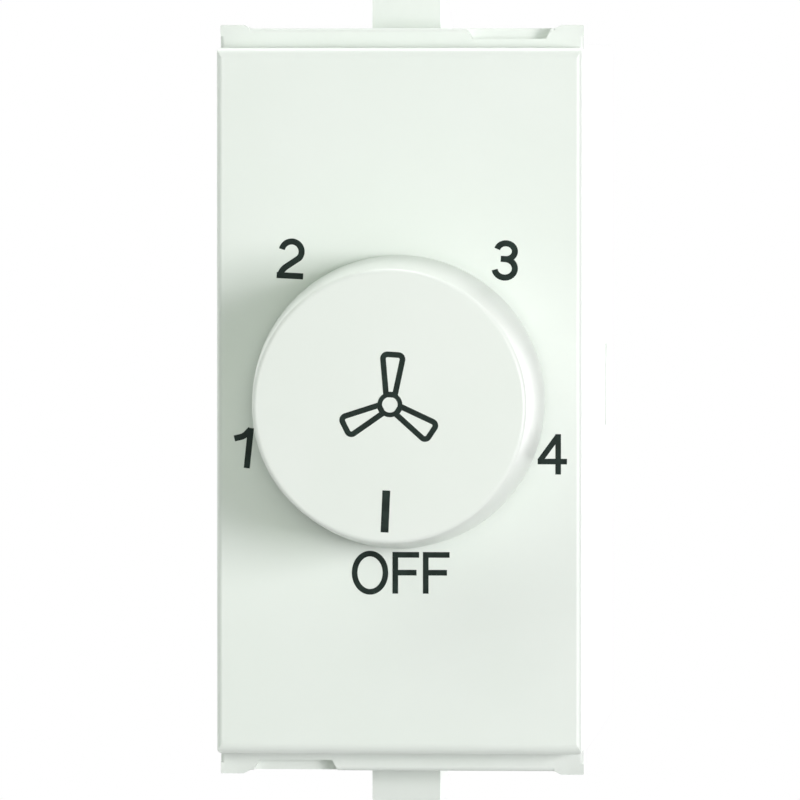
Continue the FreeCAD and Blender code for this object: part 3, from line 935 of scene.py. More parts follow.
@dataclass(frozen=True)
class WornContact(Finish):
    """Silvered contact metal, burnished along the ring where a wiper finger runs.

    Attributes:
        track_radius: radius of the burnished ring.
        track_half_width: half the ring's width.
        track_edge: width of the ring's soft edge.
        colour: the metal's bright colour.
        stain: its colour where it is dulled.
        burnished: its colour on the ring.
        roughness: how dull it is off the ring.
        polish: how much less dull it is on the ring.
        lines: fine lines to the metre.
        depth: depth of the lines.
    """

    track_radius: float
    track_half_width: float
    track_edge: float = 0.1 * MM
    colour: Colour = (0.72, 0.71, 0.67)
    stain: Colour = (0.5, 0.47, 0.4)
    burnished: Colour = (0.86, 0.84, 0.78)
    roughness: float = 0.34
    polish: float = 0.12
    lines: float = 9000.0
    depth: float = 0.0015 * MM

    def apply(self, paint: Painter) -> None:
        """Feed the shader with the metal, brighter and smoother at the ring's distance from the Y axis.

        Args:
            paint: the material that is being made.
        """
        graph = paint.graph
        grain = paint.group(paint.groups.metal_grain, Lines=self.lines, Roughness=self.roughness)
        x, _, z = graph.split(paint.place)
        radius = graph.math("SQRT", graph.math("MULTIPLY_ADD", x, x, graph.math("MULTIPLY", z, z)))
        ring = paint.mask(graph.combined(radius), self.track_radius, self.track_half_width, self.track_edge)
        plain = graph.blend(grain.outputs["Tone"], self.stain, self.colour)
        dull = graph.math("MULTIPLY_ADD", ring, -self.polish, grain.outputs["Roughness"])
        paint.dress(Base_Color=graph.blend(ring, plain, self.burnished), Roughness=dull, Metallic=1.0)
        paint.relief(grain.outputs["Height"], self.depth)


class Stroke:
    """Printed lines: flat ribbons of one width that lie on a surface in the X-Z plane."""

    def __init__(self, width: float, thickness: float) -> None:
        """Keep the line's width and the ink's thickness, in millimetres.

        Args:
            width: the line's width.
            thickness: the ink's thickness.
        """
        self.width = width
        self.thickness = thickness

    def ribbon(self, path: np.ndarray, closed: bool, layer: int = 0) -> Surface:
        """A closed ribbon along a path.

        Each rail is the path moved sideways by half the width, along the mean of the two neighbouring
        sides' normals, divided by the cosine of half the turn so that the width stays even. The four
        rails are the two sides at the front and at the back.

        Args:
            path: points (x, z) in millimetres.
            closed: whether the last point joins the first.
            layer: how many thousandths of a millimetre it lies lower, so that crossings stay clean.

        Returns:
            The ribbon in millimetres, its front at minus the thickness along Y.
        """
        ahead = np.roll(path, -1, axis=0) - path
        if not closed:
            ahead[-1] = ahead[-2]
        ahead /= np.linalg.norm(ahead, axis=1, keepdims=True)
        behind = np.roll(ahead, 1, axis=0)
        if not closed:
            behind[0] = ahead[0]
        both = ahead + behind
        normal = np.stack([-both[:, 1], both[:, 0]], axis=-1)
        side = normal * self.width / (normal**2).sum(axis=1, keepdims=True)
        left, right = path + side, path - side
        front = -self.thickness + 0.001 * layer
        rails = [
            np.stack([edge[:, 0], np.full(len(path), y), edge[:, 1]], axis=-1)
            for edge, y in ((left, front), (right, front), (right, 0.0), (left, 0.0))
        ]
        return grid_surface(np.stack(rails, axis=1), wrap_rows=closed, wrap_columns=True, caps=not closed)

    def line(self, *corners: Place, layer: int = 0) -> Surface:
        """A ribbon of straight stretches, each in a dozen short steps.

        Args:
            corners: where the stretches meet (x, z), in millimetres.
            layer: as for a ribbon.

        Returns:
            The ribbon in millimetres.
        """
        ends = zip(corners[:-1], corners[1:])
        points = [np.linspace(start, end, 12, endpoint=False) for start, end in ends]
        return self.ribbon(np.concatenate(points + [np.array([corners[-1]])]), closed=False, layer=layer)


def arc(centre: Place, radii: Place, start_deg: float, end_deg: float, steps: int = 28) -> np.ndarray:
    """Points on an ellipse: centre plus radii times cosine and sine of angles from start to end.

    Args:
        centre: its middle (x, z).
        radii: its half sizes along X and Z.
        start_deg: first angle, in degrees from +X towards +Z.
        end_deg: last angle.
        steps: number of points.

    Returns:
        Points (x, z).
    """
    turn = np.radians(np.linspace(start_deg, end_deg, steps))
    return np.stack([centre[0] + radii[0] * np.cos(turn), centre[1] + radii[1] * np.sin(turn)], axis=-1)


@dataclass
class Print:
    """Numbers, letters and signs, drawn as plain strokes in millimetres.

    Attributes:
        digit_height: height of a number.
        digit_stroke: width of its lines.
        four_share: how much of that width the lines of the 4 have.
        letter_height: height of the letters.
        letter_stroke: width of their lines.
        sign_stroke: width of the lines of the fan sign's blades.
        ring_stroke: width of its ring's line.
        ink: thickness of the ink.
    """

    digit_height: float = 2.46
    digit_stroke: float = 0.37
    four_share: float = 0.92
    letter_height: float = 2.54
    letter_stroke: float = 0.345
    sign_stroke: float = 0.34
    ring_stroke: float = 0.28
    ink: float = 0.012

    def digit(self, number: int) -> Surface:
        """A number from 1 to 4, centred on the origin.

        Args:
            number: which one.

        Returns:
            Its strokes.
        """
        return (self.one, self.two, self.three, self.four)[number - 1]()

    def one(self) -> Surface:
        """The number 1: a stem and a bent flag.

        Returns:
            Its strokes.
        """
        pen = Stroke(self.digit_stroke, self.ink)
        half = self.digit_height / 2
        stem = 0.32
        flag = rounded([(-0.62, 0.4 * half, 0), (-0.05, 0.56 * half, 0.7), (stem, half - 0.06, 0)], False)
        return joined([pen.line((stem, -half), (stem, half)), pen.ribbon(flag, False, layer=1)])

    def two(self) -> Surface:
        """The number 2: an arc that runs on into a slope, and a foot.

        Returns:
            Its strokes.
        """
        pen = Stroke(self.digit_stroke, self.ink)
        half = self.digit_height / 2
        edge = half - self.digit_stroke / 2
        bowl = 0.61
        top = edge - bowl
        curve = arc((0.02, top), (bowl, bowl), 170, -38)
        slope = [(0.02 + bowl * 0.79, top - bowl * 0.616, 0), (-0.5, -0.55 * half, 0.9), (-0.62, -edge, 0)]
        sweep = np.concatenate([curve, rounded(slope, False)[1:]])
        return joined([pen.ribbon(sweep, False), pen.line((-0.82, -edge), (0.8, -edge), layer=1)])

    def three(self) -> Surface:
        """The number 3: two arcs that meet at the waist.

        Returns:
            Its strokes.
        """
        pen = Stroke(self.digit_stroke, self.ink)
        edge = self.digit_height / 2 - self.digit_stroke / 2
        waist = 0.08
        upper_half, lower_half = (edge - waist) / 2, (edge + waist) / 2
        upper = arc((-0.02, waist + upper_half), (0.55, upper_half), 168, -92)
        lower = arc((-0.02, waist - lower_half), (0.62, lower_half), 92, -168)
        nub = pen.line((-0.3, waist), (0.05, waist), layer=2)
        return joined([pen.ribbon(upper, False), pen.ribbon(lower, False, layer=1), nub])

    def four(self) -> Surface:
        """The number 4: a stem, a slope and a bar, in slightly finer lines.

        Returns:
            Its strokes.
        """
        pen = Stroke(self.digit_stroke * self.four_share, self.ink)
        half = self.digit_height / 2
        edge = half - self.digit_stroke / 2
        stem, bar, left = 0.36, -0.36 * half, -0.76
        slope = pen.line((left, bar + 0.04), (stem - 0.04, edge + 0.03), layer=1)
        cross = pen.line((left - 0.13, bar), (0.9, bar), layer=2)
        return joined([pen.line((stem, -half), (stem, half)), slope, cross])

    def off(self) -> Surface:
        """The word OFF, centred on the origin.

        Returns:
            Its strokes.
        """
        pen = Stroke(self.letter_stroke, self.ink)
        half = self.letter_height / 2
        inset = self.letter_stroke / 2
        ring_middle, ring_half_width, overshoot = -1.83, 1.115, 0.07
        upper_arm, lower_arm, arm_height = 1.63, 1.47, 0.01
        radii = (ring_half_width - inset, half + overshoot - inset)
        strokes = [pen.ribbon(arc((ring_middle, 0.0), radii, 0, 360, 72)[:-1], closed=True)]
        for left in (-0.46, 1.4):
            stem, top = left + inset, half - inset
            strokes += [
                pen.line((stem, -half), (stem, half)),
                pen.line((left, top), (left + upper_arm, top), layer=1),
                pen.line((left, arm_height), (left + lower_arm, arm_height), layer=1),
            ]
        return joined(strokes)

    def fan_sign(self, reach: float, tip_width: float, root_width: float, hub: float) -> Surface:
        """A three-bladed fan: a ring and three hollow blades.

        Args:
            reach: how far the blades reach from the middle.
            tip_width: a blade's width at its tip.
            root_width: its width at the ring.
            hub: the ring's radius to the middle of its line.

        Returns:
            Its strokes.
        """
        pen = Stroke(self.sign_stroke, self.ink)
        tip = tip_width / 2 - self.sign_stroke / 2
        root = root_width / 2 - self.sign_stroke / 2
        top = reach - self.sign_stroke / 2
        corners = [(-root, hub, 0.06), (-tip, top, 0.26), (tip, top, 0.26), (root, hub, 0.06)]
        blade = pen.ribbon(rounded(corners, closed=True), closed=True, layer=1)
        blades = [blade.turned_about_y(math.radians(120 * i)) for i in range(3)]
        circle = arc((0, 0), (hub, hub), 0, 360, 49)[:-1]
        ring = Stroke(self.ring_stroke, self.ink).ribbon(circle, closed=True)
        return joined([ring, *blades])

    def pointer(self, length: float, width: float) -> Surface:
        """A short bar, centred on the origin."""
        return Stroke(width, self.ink).line((0, -length / 2), (0, length / 2))


def put(sign: Surface, x: float, z: float, tilt_deg: float = 0.0) -> Surface:
    """A sign turned clockwise about its middle and moved to a place, in millimetres."""
    turned = sign.turned_about_y(math.radians(tilt_deg))
    return turned.repeated(np.array([[x, 0.0, z]]))


SHARED_FINISHES: tuple[Finish, ...] = (
    MouldedPlastic("face_white", (0.845, 0.9, 0.845), (0.83, 0.89, 0.83), 0.4, 0.00014, 0.0000022),
    MouldedPlastic("knob_white", (0.85, 0.9, 0.845), (0.835, 0.89, 0.83), 0.38, 0.00016, 0.0000018),
    HousingPlastic("housing_white", (0.82, 0.865, 0.82), (0.79, 0.84, 0.79), 0.5, 0.0002, 0.000005),
    MouldedPlastic("switch_black", (0.035, 0.034, 0.033), (0.022, 0.022, 0.022), 0.5, 0.00018, 0.000006),
    MouldedPlastic("rotor_natural", (0.8, 0.785, 0.71), (0.74, 0.72, 0.64), 0.42, 0.00025, 0.000003),
    Metal("spring_steel", (0.6, 0.6, 0.59), (0.42, 0.41, 0.4), 0.28, Axis.X),
    Metal("bronze", (0.72, 0.45, 0.24), (0.5, 0.28, 0.14), 0.3, Axis.X),
    Metal("brass", (0.76, 0.57, 0.28), (0.55, 0.38, 0.16), 0.33, Axis.X, lines=0.18 * MM),
    Metal("screw_steel", (0.58, 0.58, 0.57), (0.36, 0.35, 0.33), 0.32, Axis.Z, lines=0.15 * MM),
    Metal("solder", (0.63, 0.62, 0.6), (0.46, 0.45, 0.43), 0.3, Axis.Z, lines=0.3 * MM),
    Metal("track_copper", (0.35, 0.42, 0.2), (0.26, 0.34, 0.14), 0.42, Axis.Z),
    Ink(),
    Laminate(),
)


@dataclass
class Finishes:
    """Every finish of the part, as materials by name.

    Attributes:
        groups: the shared node groups.
        made: the materials that are made so far.
    """

    groups: GroupKit = field(default_factory=GroupKit)
    made: dict[str, Material] = field(default_factory=dict)

    def build(self) -> None:
        """Make the materials that the pieces share."""
        for finish in SHARED_FINISHES:
            self.add(finish)

    def add(self, finish: Finish) -> Material:
        """Make the material of a finish, and keep it under the finish's name."""
        self.made[finish.name] = finish.material(self.groups)
        return self.made[finish.name]

    def __getitem__(self, name: str) -> Material:
        """The material of this name."""
        return self.made[name]


@dataclass
class FrontPlate:
    """The face plate with its dial print.

    Attributes:
        numbers: each number with its place (x, z) on the face and its tilt, in millimetres and degrees.
        off_place: middle of the word OFF.
    """

    numbers: tuple[tuple[int, float, float, float], ...] = (
        (1, -9.5, -2.83, 6.0),
        (2, -6.6, 8.7, 3.0),
        (3, 6.5, 8.6, 4.0),
        (4, 9.35, -3.2, 0.0),
    )
    off_place: Place = (0.06, -10.45)

    def build(self, nodes: Nodes, finishes: Finishes) -> None:
        """Dress the plate and print its dial.

        Args:
            nodes: the construction nodes by name.
            finishes: the part's materials.
        """
        finish_node(nodes["face_plate"], finishes["face_white"])
        art = Print()
        signs = [put(art.digit(number), x, z, tilt) for number, x, z, tilt in self.numbers]
        signs.append(put(art.off(), *self.off_place))
        low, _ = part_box("face_plate")
        dial = joined(signs).in_metres((0.0, low.y, 0.0))
        piece("dial_print", dial, finishes["print_ink"], "root")


@dataclass
class Knob:
    """The hollow, slightly tapered knob with its print, sizes in millimetres.

    Attributes:
        top_radius: radius at the front.
        edge_radius: rounding of the front edge.
        rim_radius: rounding of the rim and of the boss's end.
        hollow_radius: rounding inside the hollow.
        wall: thickness of the skirt.
        top_wall: thickness of the front.
        boss_radius: radius of the boss that takes the shaft.
        boss_recess: how far the boss stays behind the rim.
        bore_radius: radius of the shaft's bore.
        bore_flat: height of the bore's flat above its axis.
        bore_sink: how far the bore goes into the front's wall.
        crown: how much lower the front lies at its edge than in its middle.
        print_room: room that the print takes before the front.
        rib_thickness: thickness of the four ribs under the front.
        rib_height: their height.
        rib_hold: how far they reach into the boss and the front's wall.
        rib_end: how far they reach into the skirt.
        segments: steps round the turn.
        sign_place: the fan sign's middle (x, z).
        sign_tilt: how far it is turned clockwise, in degrees.
        pointer_place: the pointer line's middle (x, z).
        pointer_tilt: how far it is turned clockwise, in degrees.
        pointer_size: its width and its length.
    """

    top_radius: float = 8.25
    edge_radius: float = 0.3
    rim_radius: float = 0.15
    hollow_radius: float = 0.3
    wall: float = 1.3
    top_wall: float = 1.8
    boss_radius: float = 4.0
    boss_recess: float = 0.6
    bore_radius: float = 2.53
    bore_flat: float = 1.9
    bore_sink: float = 0.1
    crown: float = 0.07
    print_room: float = 0.015
    rib_thickness: float = 0.8
    rib_height: float = 1.7
    rib_hold: float = 0.5
    rib_end: float = 0.25
    segments: int = 240
    sign_place: Place = (0.05, 0.1)
    sign_tilt: float = 3.6
    pointer_place: Place = (-0.22, -6.31)
    pointer_tilt: float = 2.5
    pointer_size: Place = (0.47, 2.52)

    def __post_init__(self) -> None:
        """Read the knob's ends and base from its construction node."""
        low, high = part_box("knob")
        self.front = low.y / MM + self.print_room
        self.back = high.y / MM
        self.base_radius = high.x / MM
        self.ceiling = low.y / MM + self.top_wall

    def crowned(self, radius: np.ndarray) -> np.ndarray:
        """Depth of the crowned front at a radius: the front plus the crown times the squared share."""
        return self.front + self.crown * np.minimum(radius / self.top_radius, 1.0) ** 2

    def profile(self) -> np.ndarray:
        """The knob's section from the front's middle round to the bore's end.

        The front edge is rounded by a little less than its radius, so that its arc starts past the last
        point of the front.

        Returns:
            Points (radius, y).
        """
        flat_radius = self.top_radius - self.edge_radius
        face = np.linspace(0.0, flat_radius, 12, endpoint=False)
        skin = np.stack([face, self.crowned(face)], axis=-1)
        inner_base = self.base_radius - self.wall
        inner_top = self.top_radius - self.wall
        boss_end = self.back - self.boss_recess
        bore_end = self.ceiling - self.bore_sink
        body = rounded(
            [
                (flat_radius, float(self.crowned(np.array(flat_radius))), 0),
                (self.top_radius, self.front + self.crown, self.edge_radius * 0.98),
                (self.base_radius, self.back, self.rim_radius),
                (inner_base, self.back, self.rim_radius),
                (inner_top, self.ceiling, self.hollow_radius),
                (self.boss_radius, self.ceiling, self.hollow_radius),
                (self.boss_radius, boss_end, self.rim_radius),
                (self.bore_radius, boss_end, 0),
                (self.bore_radius, bore_end, 0),
                (0.0, bore_end, 0),
            ],
            closed=False,
        )
        return np.concatenate([skin, body])

    def surface(self) -> Surface:
        """The turned body, its bore cut to a D, and its ribs.

        On the bore's rows, the radius at an angle is the lesser of the bore's radius and the flat's
        height divided by the cosine of the angle from +Z.

        Returns:
            The closed surface in millimetres.
        """
        profile = self.profile()
        turned = lathe(profile, self.segments)
        points = turned.vertices.reshape(len(profile), self.segments, 3)
        in_bore = (np.abs(profile[:, 0] - self.bore_radius) < 1e-9)[:, None]
        upright = np.maximum(points[..., 2] / self.bore_radius, 1e-6)
        share = np.minimum(1.0, self.bore_flat / (self.bore_radius * upright))
        scale = np.where(in_bore, share, 1.0)
        points = points * np.stack([scale, np.ones_like(scale), scale], axis=-1)
        turned.vertices = points.reshape(-1, 3)
        half = self.rib_thickness / 2
        inner = self.boss_radius - self.rib_hold
        outer = self.top_radius - self.wall + self.rib_end
        section = np.array([(-half, inner), (half, inner), (half, outer), (-half, outer)])
        rib = layered(section, (self.ceiling - self.rib_hold, self.ceiling + self.rib_height))
        ribs = [rib.turned_about_y(math.radians(45 + 90 * i)) for i in range(4)]
        return joined([turned, *ribs])

    def build(self, nodes: Nodes, finishes: Finishes) -> None:
        """Make the knob and its print, and dress its clip.

        Args:
            nodes: the construction nodes by name.
            finishes: the part's materials.
        """
        made = piece("knob_body", self.surface().in_metres(), finishes["knob_white"], "rotor")
        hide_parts("knob")
        art = Print()
        width, length = self.pointer_size
        sign = art.fan_sign(reach=3.18, tip_width=1.6, root_width=0.88, hub=0.61)
        signs = joined([
            put(sign, *self.sign_place, self.sign_tilt),
            put(art.pointer(length, width), *self.pointer_place, self.pointer_tilt),
        ])
        signs.vertices[:, 1] += self.crowned(np.hypot(signs.vertices[:, 0], signs.vertices[:, 2]))
        piece("knob_print", signs.in_metres(), finishes["print_ink"], "rotor")
        finish_node(nodes["knob_spring_clip"], finishes["spring_steel"])


@dataclass
class Housing:
    """The housing and its rear cover."""

    def build(self, nodes: Nodes, finishes: Finishes) -> None:
        """Dress both mouldings.

        Args:
            nodes: the construction nodes by name.
            finishes: the part's materials.
        """
        for name in ("housing", "rear_cover"):
            finish_node(nodes[name], finishes["housing_white"])


# Radii of the rings on which the wiper's fingers run, in millimetres, and the steps' numbers.
INNER_TRACK = 3.6
OUTER_TRACK = 5.8
STEPS = (1, 2, 3, 4)


@dataclass
class SwitchWorks:
    """The rotary switch: body, rotor, detent leaf, wiper and contacts.

    Attributes:
        finger_half_width: half the width that a wiper finger burnishes, in metres.
    """

    finger_half_width: float = 0.35 * MM

    def build(self, nodes: Nodes, finishes: Finishes) -> None:
        """Dress every piece of the switch.

        Args:
            nodes: the construction nodes by name.
            finishes: the part's materials.
        """
        finish_node(nodes["switch_body"], finishes["switch_black"])
        finish_node(nodes["rotor_shaft"], finishes["rotor_natural"])
        finish_node(nodes["detent_leaf"], finishes["spring_steel"])
        finish_node(nodes["wiper"], finishes["bronze"])
        common = WornContact("contact_common", INNER_TRACK * MM, self.finger_half_width)
        finish_node(nodes["contact_common"], finishes.add(common))
        step = finishes.add(WornContact("contact_step", OUTER_TRACK * MM, self.finger_half_width))
        for number in STEPS:
            finish_node(nodes[f"contact_step_{number}"], step)


@dataclass
class Board:
    """The circuit board and what is soldered on it, sizes in millimetres.

    Attributes:
        lead_radius: radius of a resistor's lead.
        pin_radius: radius of a contact's or capacitor's pin.
        joint_radius: radius of a solder joint at its foot.
        joint_height: height of a solder joint.
        track_width: width of a copper track.
        track_rise: how far a track stands on the board.
        track_bend: rounding of a track's corners.
        cone_share: the share of a joint's height that its cone takes.
        large_pin_inset: how far the large capacitor's pins stand inside its case.
        small_pin_inset: the same for the small capacitor.
        standoff: height of the capacitors' feet.
        tail_inset: how far the terminals' tails stand inside the terminals' outer ends.
        step_angle: degrees between the rests.
    """

    lead_radius: float = 0.35
    pin_radius: float = 0.45
    joint_radius: float = 0.95
    joint_height: float = 0.36
    track_width: float = 1.1
    track_rise: float = 0.04
    track_bend: float = 0.5
    cone_share: float = 0.7
    large_pin_inset: float = 1.25
    small_pin_inset: float = 3.75
    standoff: float = 0.5
    tail_inset: float = 0.4
    step_angle: float = 72.0

    def pin_places(self) -> dict[str, Place]:
        """Where each pin, lead and tail comes through the board.

        Returns:
            The places (x, z) by the pins' names.
        """
        places: dict[str, Place] = {}
        resistors = ("series_resistor_1", "series_resistor_2", "bleed_resistor_1", "bleed_resistor_2")
        insets = dict.fromkeys(resistors, self.lead_radius)
        insets |= {"capacitor_large": self.large_pin_inset, "capacitor_small": self.small_pin_inset}
        for name, inset in insets.items():
            low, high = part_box(name)
            x, z = high.x / MM - inset, (low.z + high.z) / 2 / MM
            places[f"{name}_left"] = (-x, z)
            places[f"{name}_right"] = (x, z)
        places["common"] = (0.0, INNER_TRACK)
        for step in STEPS:
            turn = math.radians(self.step_angle * step)
            places[f"step_{step}"] = (-OUTER_TRACK * math.sin(turn), -OUTER_TRACK * math.cos(turn))
        _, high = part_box("terminal_line")
        tail = high.z / MM - self.tail_inset
        places["tail_line"] = (0.0, tail)
        places["tail_load"] = (0.0, -tail)
        return places

    def joint(self) -> Surface:
        """One solder joint: a concave cone up to the pin, closed by a small dome.

        The radius falls from the foot's to the pin's with the square of what is left of the height.

        Returns:
            The joint on the Y axis, in millimetres.
        """
        share = np.linspace(0.0, 1.0, 9)
        cone = self.pin_radius + (self.joint_radius - self.pin_radius) * (1 - share) ** 2
        cone_height = self.cone_share * self.joint_height * share
        turn = np.linspace(0.0, math.pi / 2, 7)[1:]
        dome_radius = self.pin_radius * np.cos(turn)
        dome_height = (self.cone_share + (1 - self.cone_share) * np.sin(turn)) * self.joint_height
        radius = np.concatenate([[0.0], cone, dome_radius[:-1], [0.0]])
        height = np.concatenate([[0.0], cone_height, dome_height])
        return lathe(np.stack([radius, height], axis=-1), 28)

    def tracks(self, places: dict[str, Place]) -> Surface:
        """The copper tracks: rounded lines from pin to pin on the board's back.

        Args:
            places: the pins' places.

        Returns:
            The tracks in millimetres, standing up along +Y.
        """
        side = 8.3
        routes = (
            ("tail_line", "series_resistor_1_left", "bleed_resistor_1_left"),
            ("series_resistor_1_right", "bleed_resistor_1_right"),
            ("series_resistor_1_right", (side, 11.0), "capacitor_large_right"),
            ("capacitor_large_left", (-side, 3.4), "step_2"),
            ("series_resistor_2_left", (-side, -10.6), "capacitor_small_left"),
            ("capacitor_small_right", (7.9, -6.0), "step_4"),
            ("series_resistor_2_right", "bleed_resistor_2_right"),
            ("series_resistor_2_left", "bleed_resistor_2_left"),
            ("tail_load", "series_resistor_2_right"),
            ("step_1", (-side, -3.4), "series_resistor_2_left"),
            ("step_3", (8.0, 6.6), "capacitor_large_right"),
            ("common", (0.0, 12.6), "tail_line"),
        )
        pen = Stroke(self.track_width, self.track_rise)
        ribbons = []
        for layer, route in enumerate(routes):
            corners = [places[stop] if isinstance(stop, str) else stop for stop in route]
            rounds = [(x, z, self.track_bend) for x, z in corners]
            ribbons.append(pen.ribbon(rounded(rounds, closed=False), closed=False, layer=layer % 3))
        copper = joined(ribbons)
        copper.vertices[:, 1] *= -1.0
        return copper

    def build(self, nodes: Nodes, finishes: Finishes) -> None:
        """Dress the board and its components, and add copper and solder on its back.

        Args:
            nodes: the construction nodes by name.
            finishes: the part's materials.
        """
        finish_node(nodes["circuit_board"], finishes["board_laminate"])
        finish_node(nodes["board_rivets"], finishes["brass"])
        places = self.pin_places()
        _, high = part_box("circuit_board")
        copper = self.tracks(places).in_metres((0.0, high.y, 0.0))
        piece("copper_tracks", copper, finishes["track_copper"], "root")
        offsets = np.array([(x, 0.0, z) for x, z in places.values()])
        joints = self.joint().repeated(offsets).in_metres((0.0, high.y, 0.0))
        piece("solder_joints", joints, finishes["solder"], "root")
        _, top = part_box("capacitor_large")
        front = high.y + self.standoff * MM
        capacitor = finishes.add(BoxCapacitor("capacitor_case", front=front, half_width=top.x))
        for name in ("capacitor_large", "capacitor_small"):
            finish_node(nodes[name], capacitor)
        self.dress_resistors(nodes, finishes)

    def dress_resistors(self, nodes: Nodes, finishes: Finishes) -> None:
        """Give the resistors their lacquer, bands and tinned leads.

        Args:
            nodes: the construction nodes by name.
            finishes: the part's materials.
        """
        series = ((-3.4, Band.RED), (-1.7, Band.RED), (-0.2, Band.GOLD), (3.4, Band.GOLD))
        bleed = ((-2.4, Band.YELLOW), (-1.2, Band.VIOLET), (-0.1, Band.BROWN), (2.4, Band.BLACK))
        for name, half_length, shown, band_half_width in (
            ("series_resistor", 4.5, series, 0.4),
            ("bleed_resistor", 3.15, bleed, 0.27),
        ):
            bands = tuple((place * MM, band) for place, band in shown)
            material = finishes.add(Resistor(name, half_length * MM, bands, band_half_width * MM))
            for number in (1, 2):
                finish_node(nodes[f"{name}_{number}"], material)


@dataclass
class TerminalScrew:
    """A slotted screw with a cut thread, sizes in millimetres.

    Attributes:
        radius: outer radius of the thread.
        pitch: how far one turn of the thread rises.
        thread_depth: depth of the thread.
        tip_rounding: rounding of the tip.
        head_radius: radius of the head.
        head_height: height of the head.
        head_rounding: rounding of the head's outer edge.
        slot_half_width: half the width of the slot.
        slot_rounding: how much wider the slot is at its mouth, on each side.
        slot_depth: depth of the slot.
        overlap: how far the shank and the head's halves go into the head.
    """

    radius: float = 1.5
    pitch: float = 0.5
    thread_depth: float = 0.27
    tip_rounding: float = 0.6
    head_radius: float = 2.6
    head_height: float = 2.0
    head_rounding: float = 0.3
    slot_half_width: float = 0.4
    slot_rounding: float = 0.08
    slot_depth: float = 1.0
    overlap: float = 0.05

    def shank(self, tip: float, end: float) -> Surface:
        """The threaded shank between two places along Y.

        The radius is the outer radius less the depth times what a ridge lacks of 1. The ridge is a wave
        with flat tops and bottoms of the phase, which is the place over the pitch less the share of the
        turn. At the tip the radius stays inside the rounding's arc.

        Args:
            tip: place of the tip.
            end: place of the head's seat.

        Returns:
            The shank, closed at both ends.
        """
        rows, segments = 220, 56
        y = np.linspace(tip, end, rows)[:, None]
        angle = np.linspace(0, FULL_TURN, segments, endpoint=False)[None]
        phase = (y / self.pitch - angle / FULL_TURN) % 1.0
        ridge = np.clip(1.25 - 2.6 * np.abs(phase - 0.5), 0.0, 1.0)
        radius = self.radius - self.thread_depth * (1 - ridge)
        into = np.clip(self.tip_rounding - (y - tip), 0.0, self.tip_rounding)
        limit = self.radius - self.tip_rounding + np.sqrt(self.tip_rounding**2 - into**2)
        radius = np.minimum(radius, limit)
        points = np.stack([radius * np.sin(angle), y + 0 * angle, radius * np.cos(angle)], axis=-1)
        return grid_surface(points, wrap_rows=False, wrap_columns=True, caps=True)

    def head_half(self, floor: float, top: float) -> Surface:
        """One half of the slotted head, above the slot's floor.

        Each layer is a round segment: an arc of the layer's radius, cut by a chord. Towards the top, the
        radius shrinks by the head's rounding and the chord moves out by the slot's.

        Args:
            floor: place of the slot's floor.
            top: place of the head's top.

        Returns:
            The half on the +Z side.
        """
        turn = np.linspace(0.0, math.pi / 2, 6)
        inset = np.concatenate([[0.0], self.head_rounding * (1 - np.cos(turn))])
        level = np.concatenate([[floor - self.overlap], top - self.head_rounding * (1 - np.sin(turn))])
        chord_inset = np.concatenate([[0.0], self.slot_rounding * (1 - np.cos(turn))])
        radius = (self.head_radius - inset)[:, None]
        chord = (self.slot_half_width + chord_inset)[:, None]
        start = np.arcsin(chord / radius)
        share = np.linspace(0.0, 1.0, 44)[None]
        angle = start + (math.pi - 2 * start) * share
        x, z = radius * np.cos(angle), radius * np.sin(angle)
        points = np.stack([x, level[:, None] + 0 * x, z], axis=-1)
        return grid_surface(points, wrap_rows=False, wrap_columns=True, caps=True)

    def surface(self, tip: float, back: float) -> Surface:
        """The whole screw on the Y axis.

        Args:
            tip: place of its tip.
            back: place of its head's back.

        Returns:
            The screw, in millimetres.
        """
        seat = back - self.head_height
        floor = back - self.slot_depth
        profile = np.array([(0.0, seat), (self.head_radius, seat), (self.head_radius, floor), (0.0, floor)])
        shank = self.shank(tip, seat + self.overlap)
        half = self.head_half(floor, back)
        return joined([shank, lathe(profile, 64), half, half.turned_about_y(math.pi)])

    def build(self, finishes: Finishes, node: str, body: str) -> None:
        """Make the screw in its node's place.

        Args:
            finishes: the part's materials.
            node: the construction node that it stands for.
            body: the body that it rides on.
        """
        low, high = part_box(node)
        middle = (low + high) / 2
        screw = self.surface(low.y / MM, high.y / MM).in_metres((middle.x, 0.0, middle.z))
        made = piece(f"{node}_threaded", screw, finishes["screw_steel"], body)
        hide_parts(node)


@dataclass
class Terminals:
    """The two brass terminals and their screws."""

    def build(self, nodes: Nodes, finishes: Finishes) -> None:
        """Dress the blocks and make the screws.

        Args:
            nodes: the construction nodes by name.
            finishes: the part's materials.
        """
        for side in ("line", "load"):
            finish_node(nodes[f"terminal_{side}"], finishes["brass"])
            TerminalScrew().build(finishes, f"terminal_screw_{side}", f"screw_{side}")


def aimed(name: str, data: bpy.types.ID, target: Vector, towards: Vector, distance: float) -> Object:
    """A lamp or a camera that looks at a point, in metres.

    Args:
        name: the object's name.
        data: the lamp's or the camera's data.
        target: the point.
        towards: the direction from the point to the object, of length 1.
        distance: how far from the point it stands.

    Returns:
        The object.
    """
    made = bpy.data.objects.new(name, data)
    bpy.context.scene.collection.objects.link(made)
    made.location = target + towards * distance
    made.rotation_mode = "QUATERNION"
    made.rotation_quaternion = (-towards).to_track_quat("-Z", "Y")
    return made


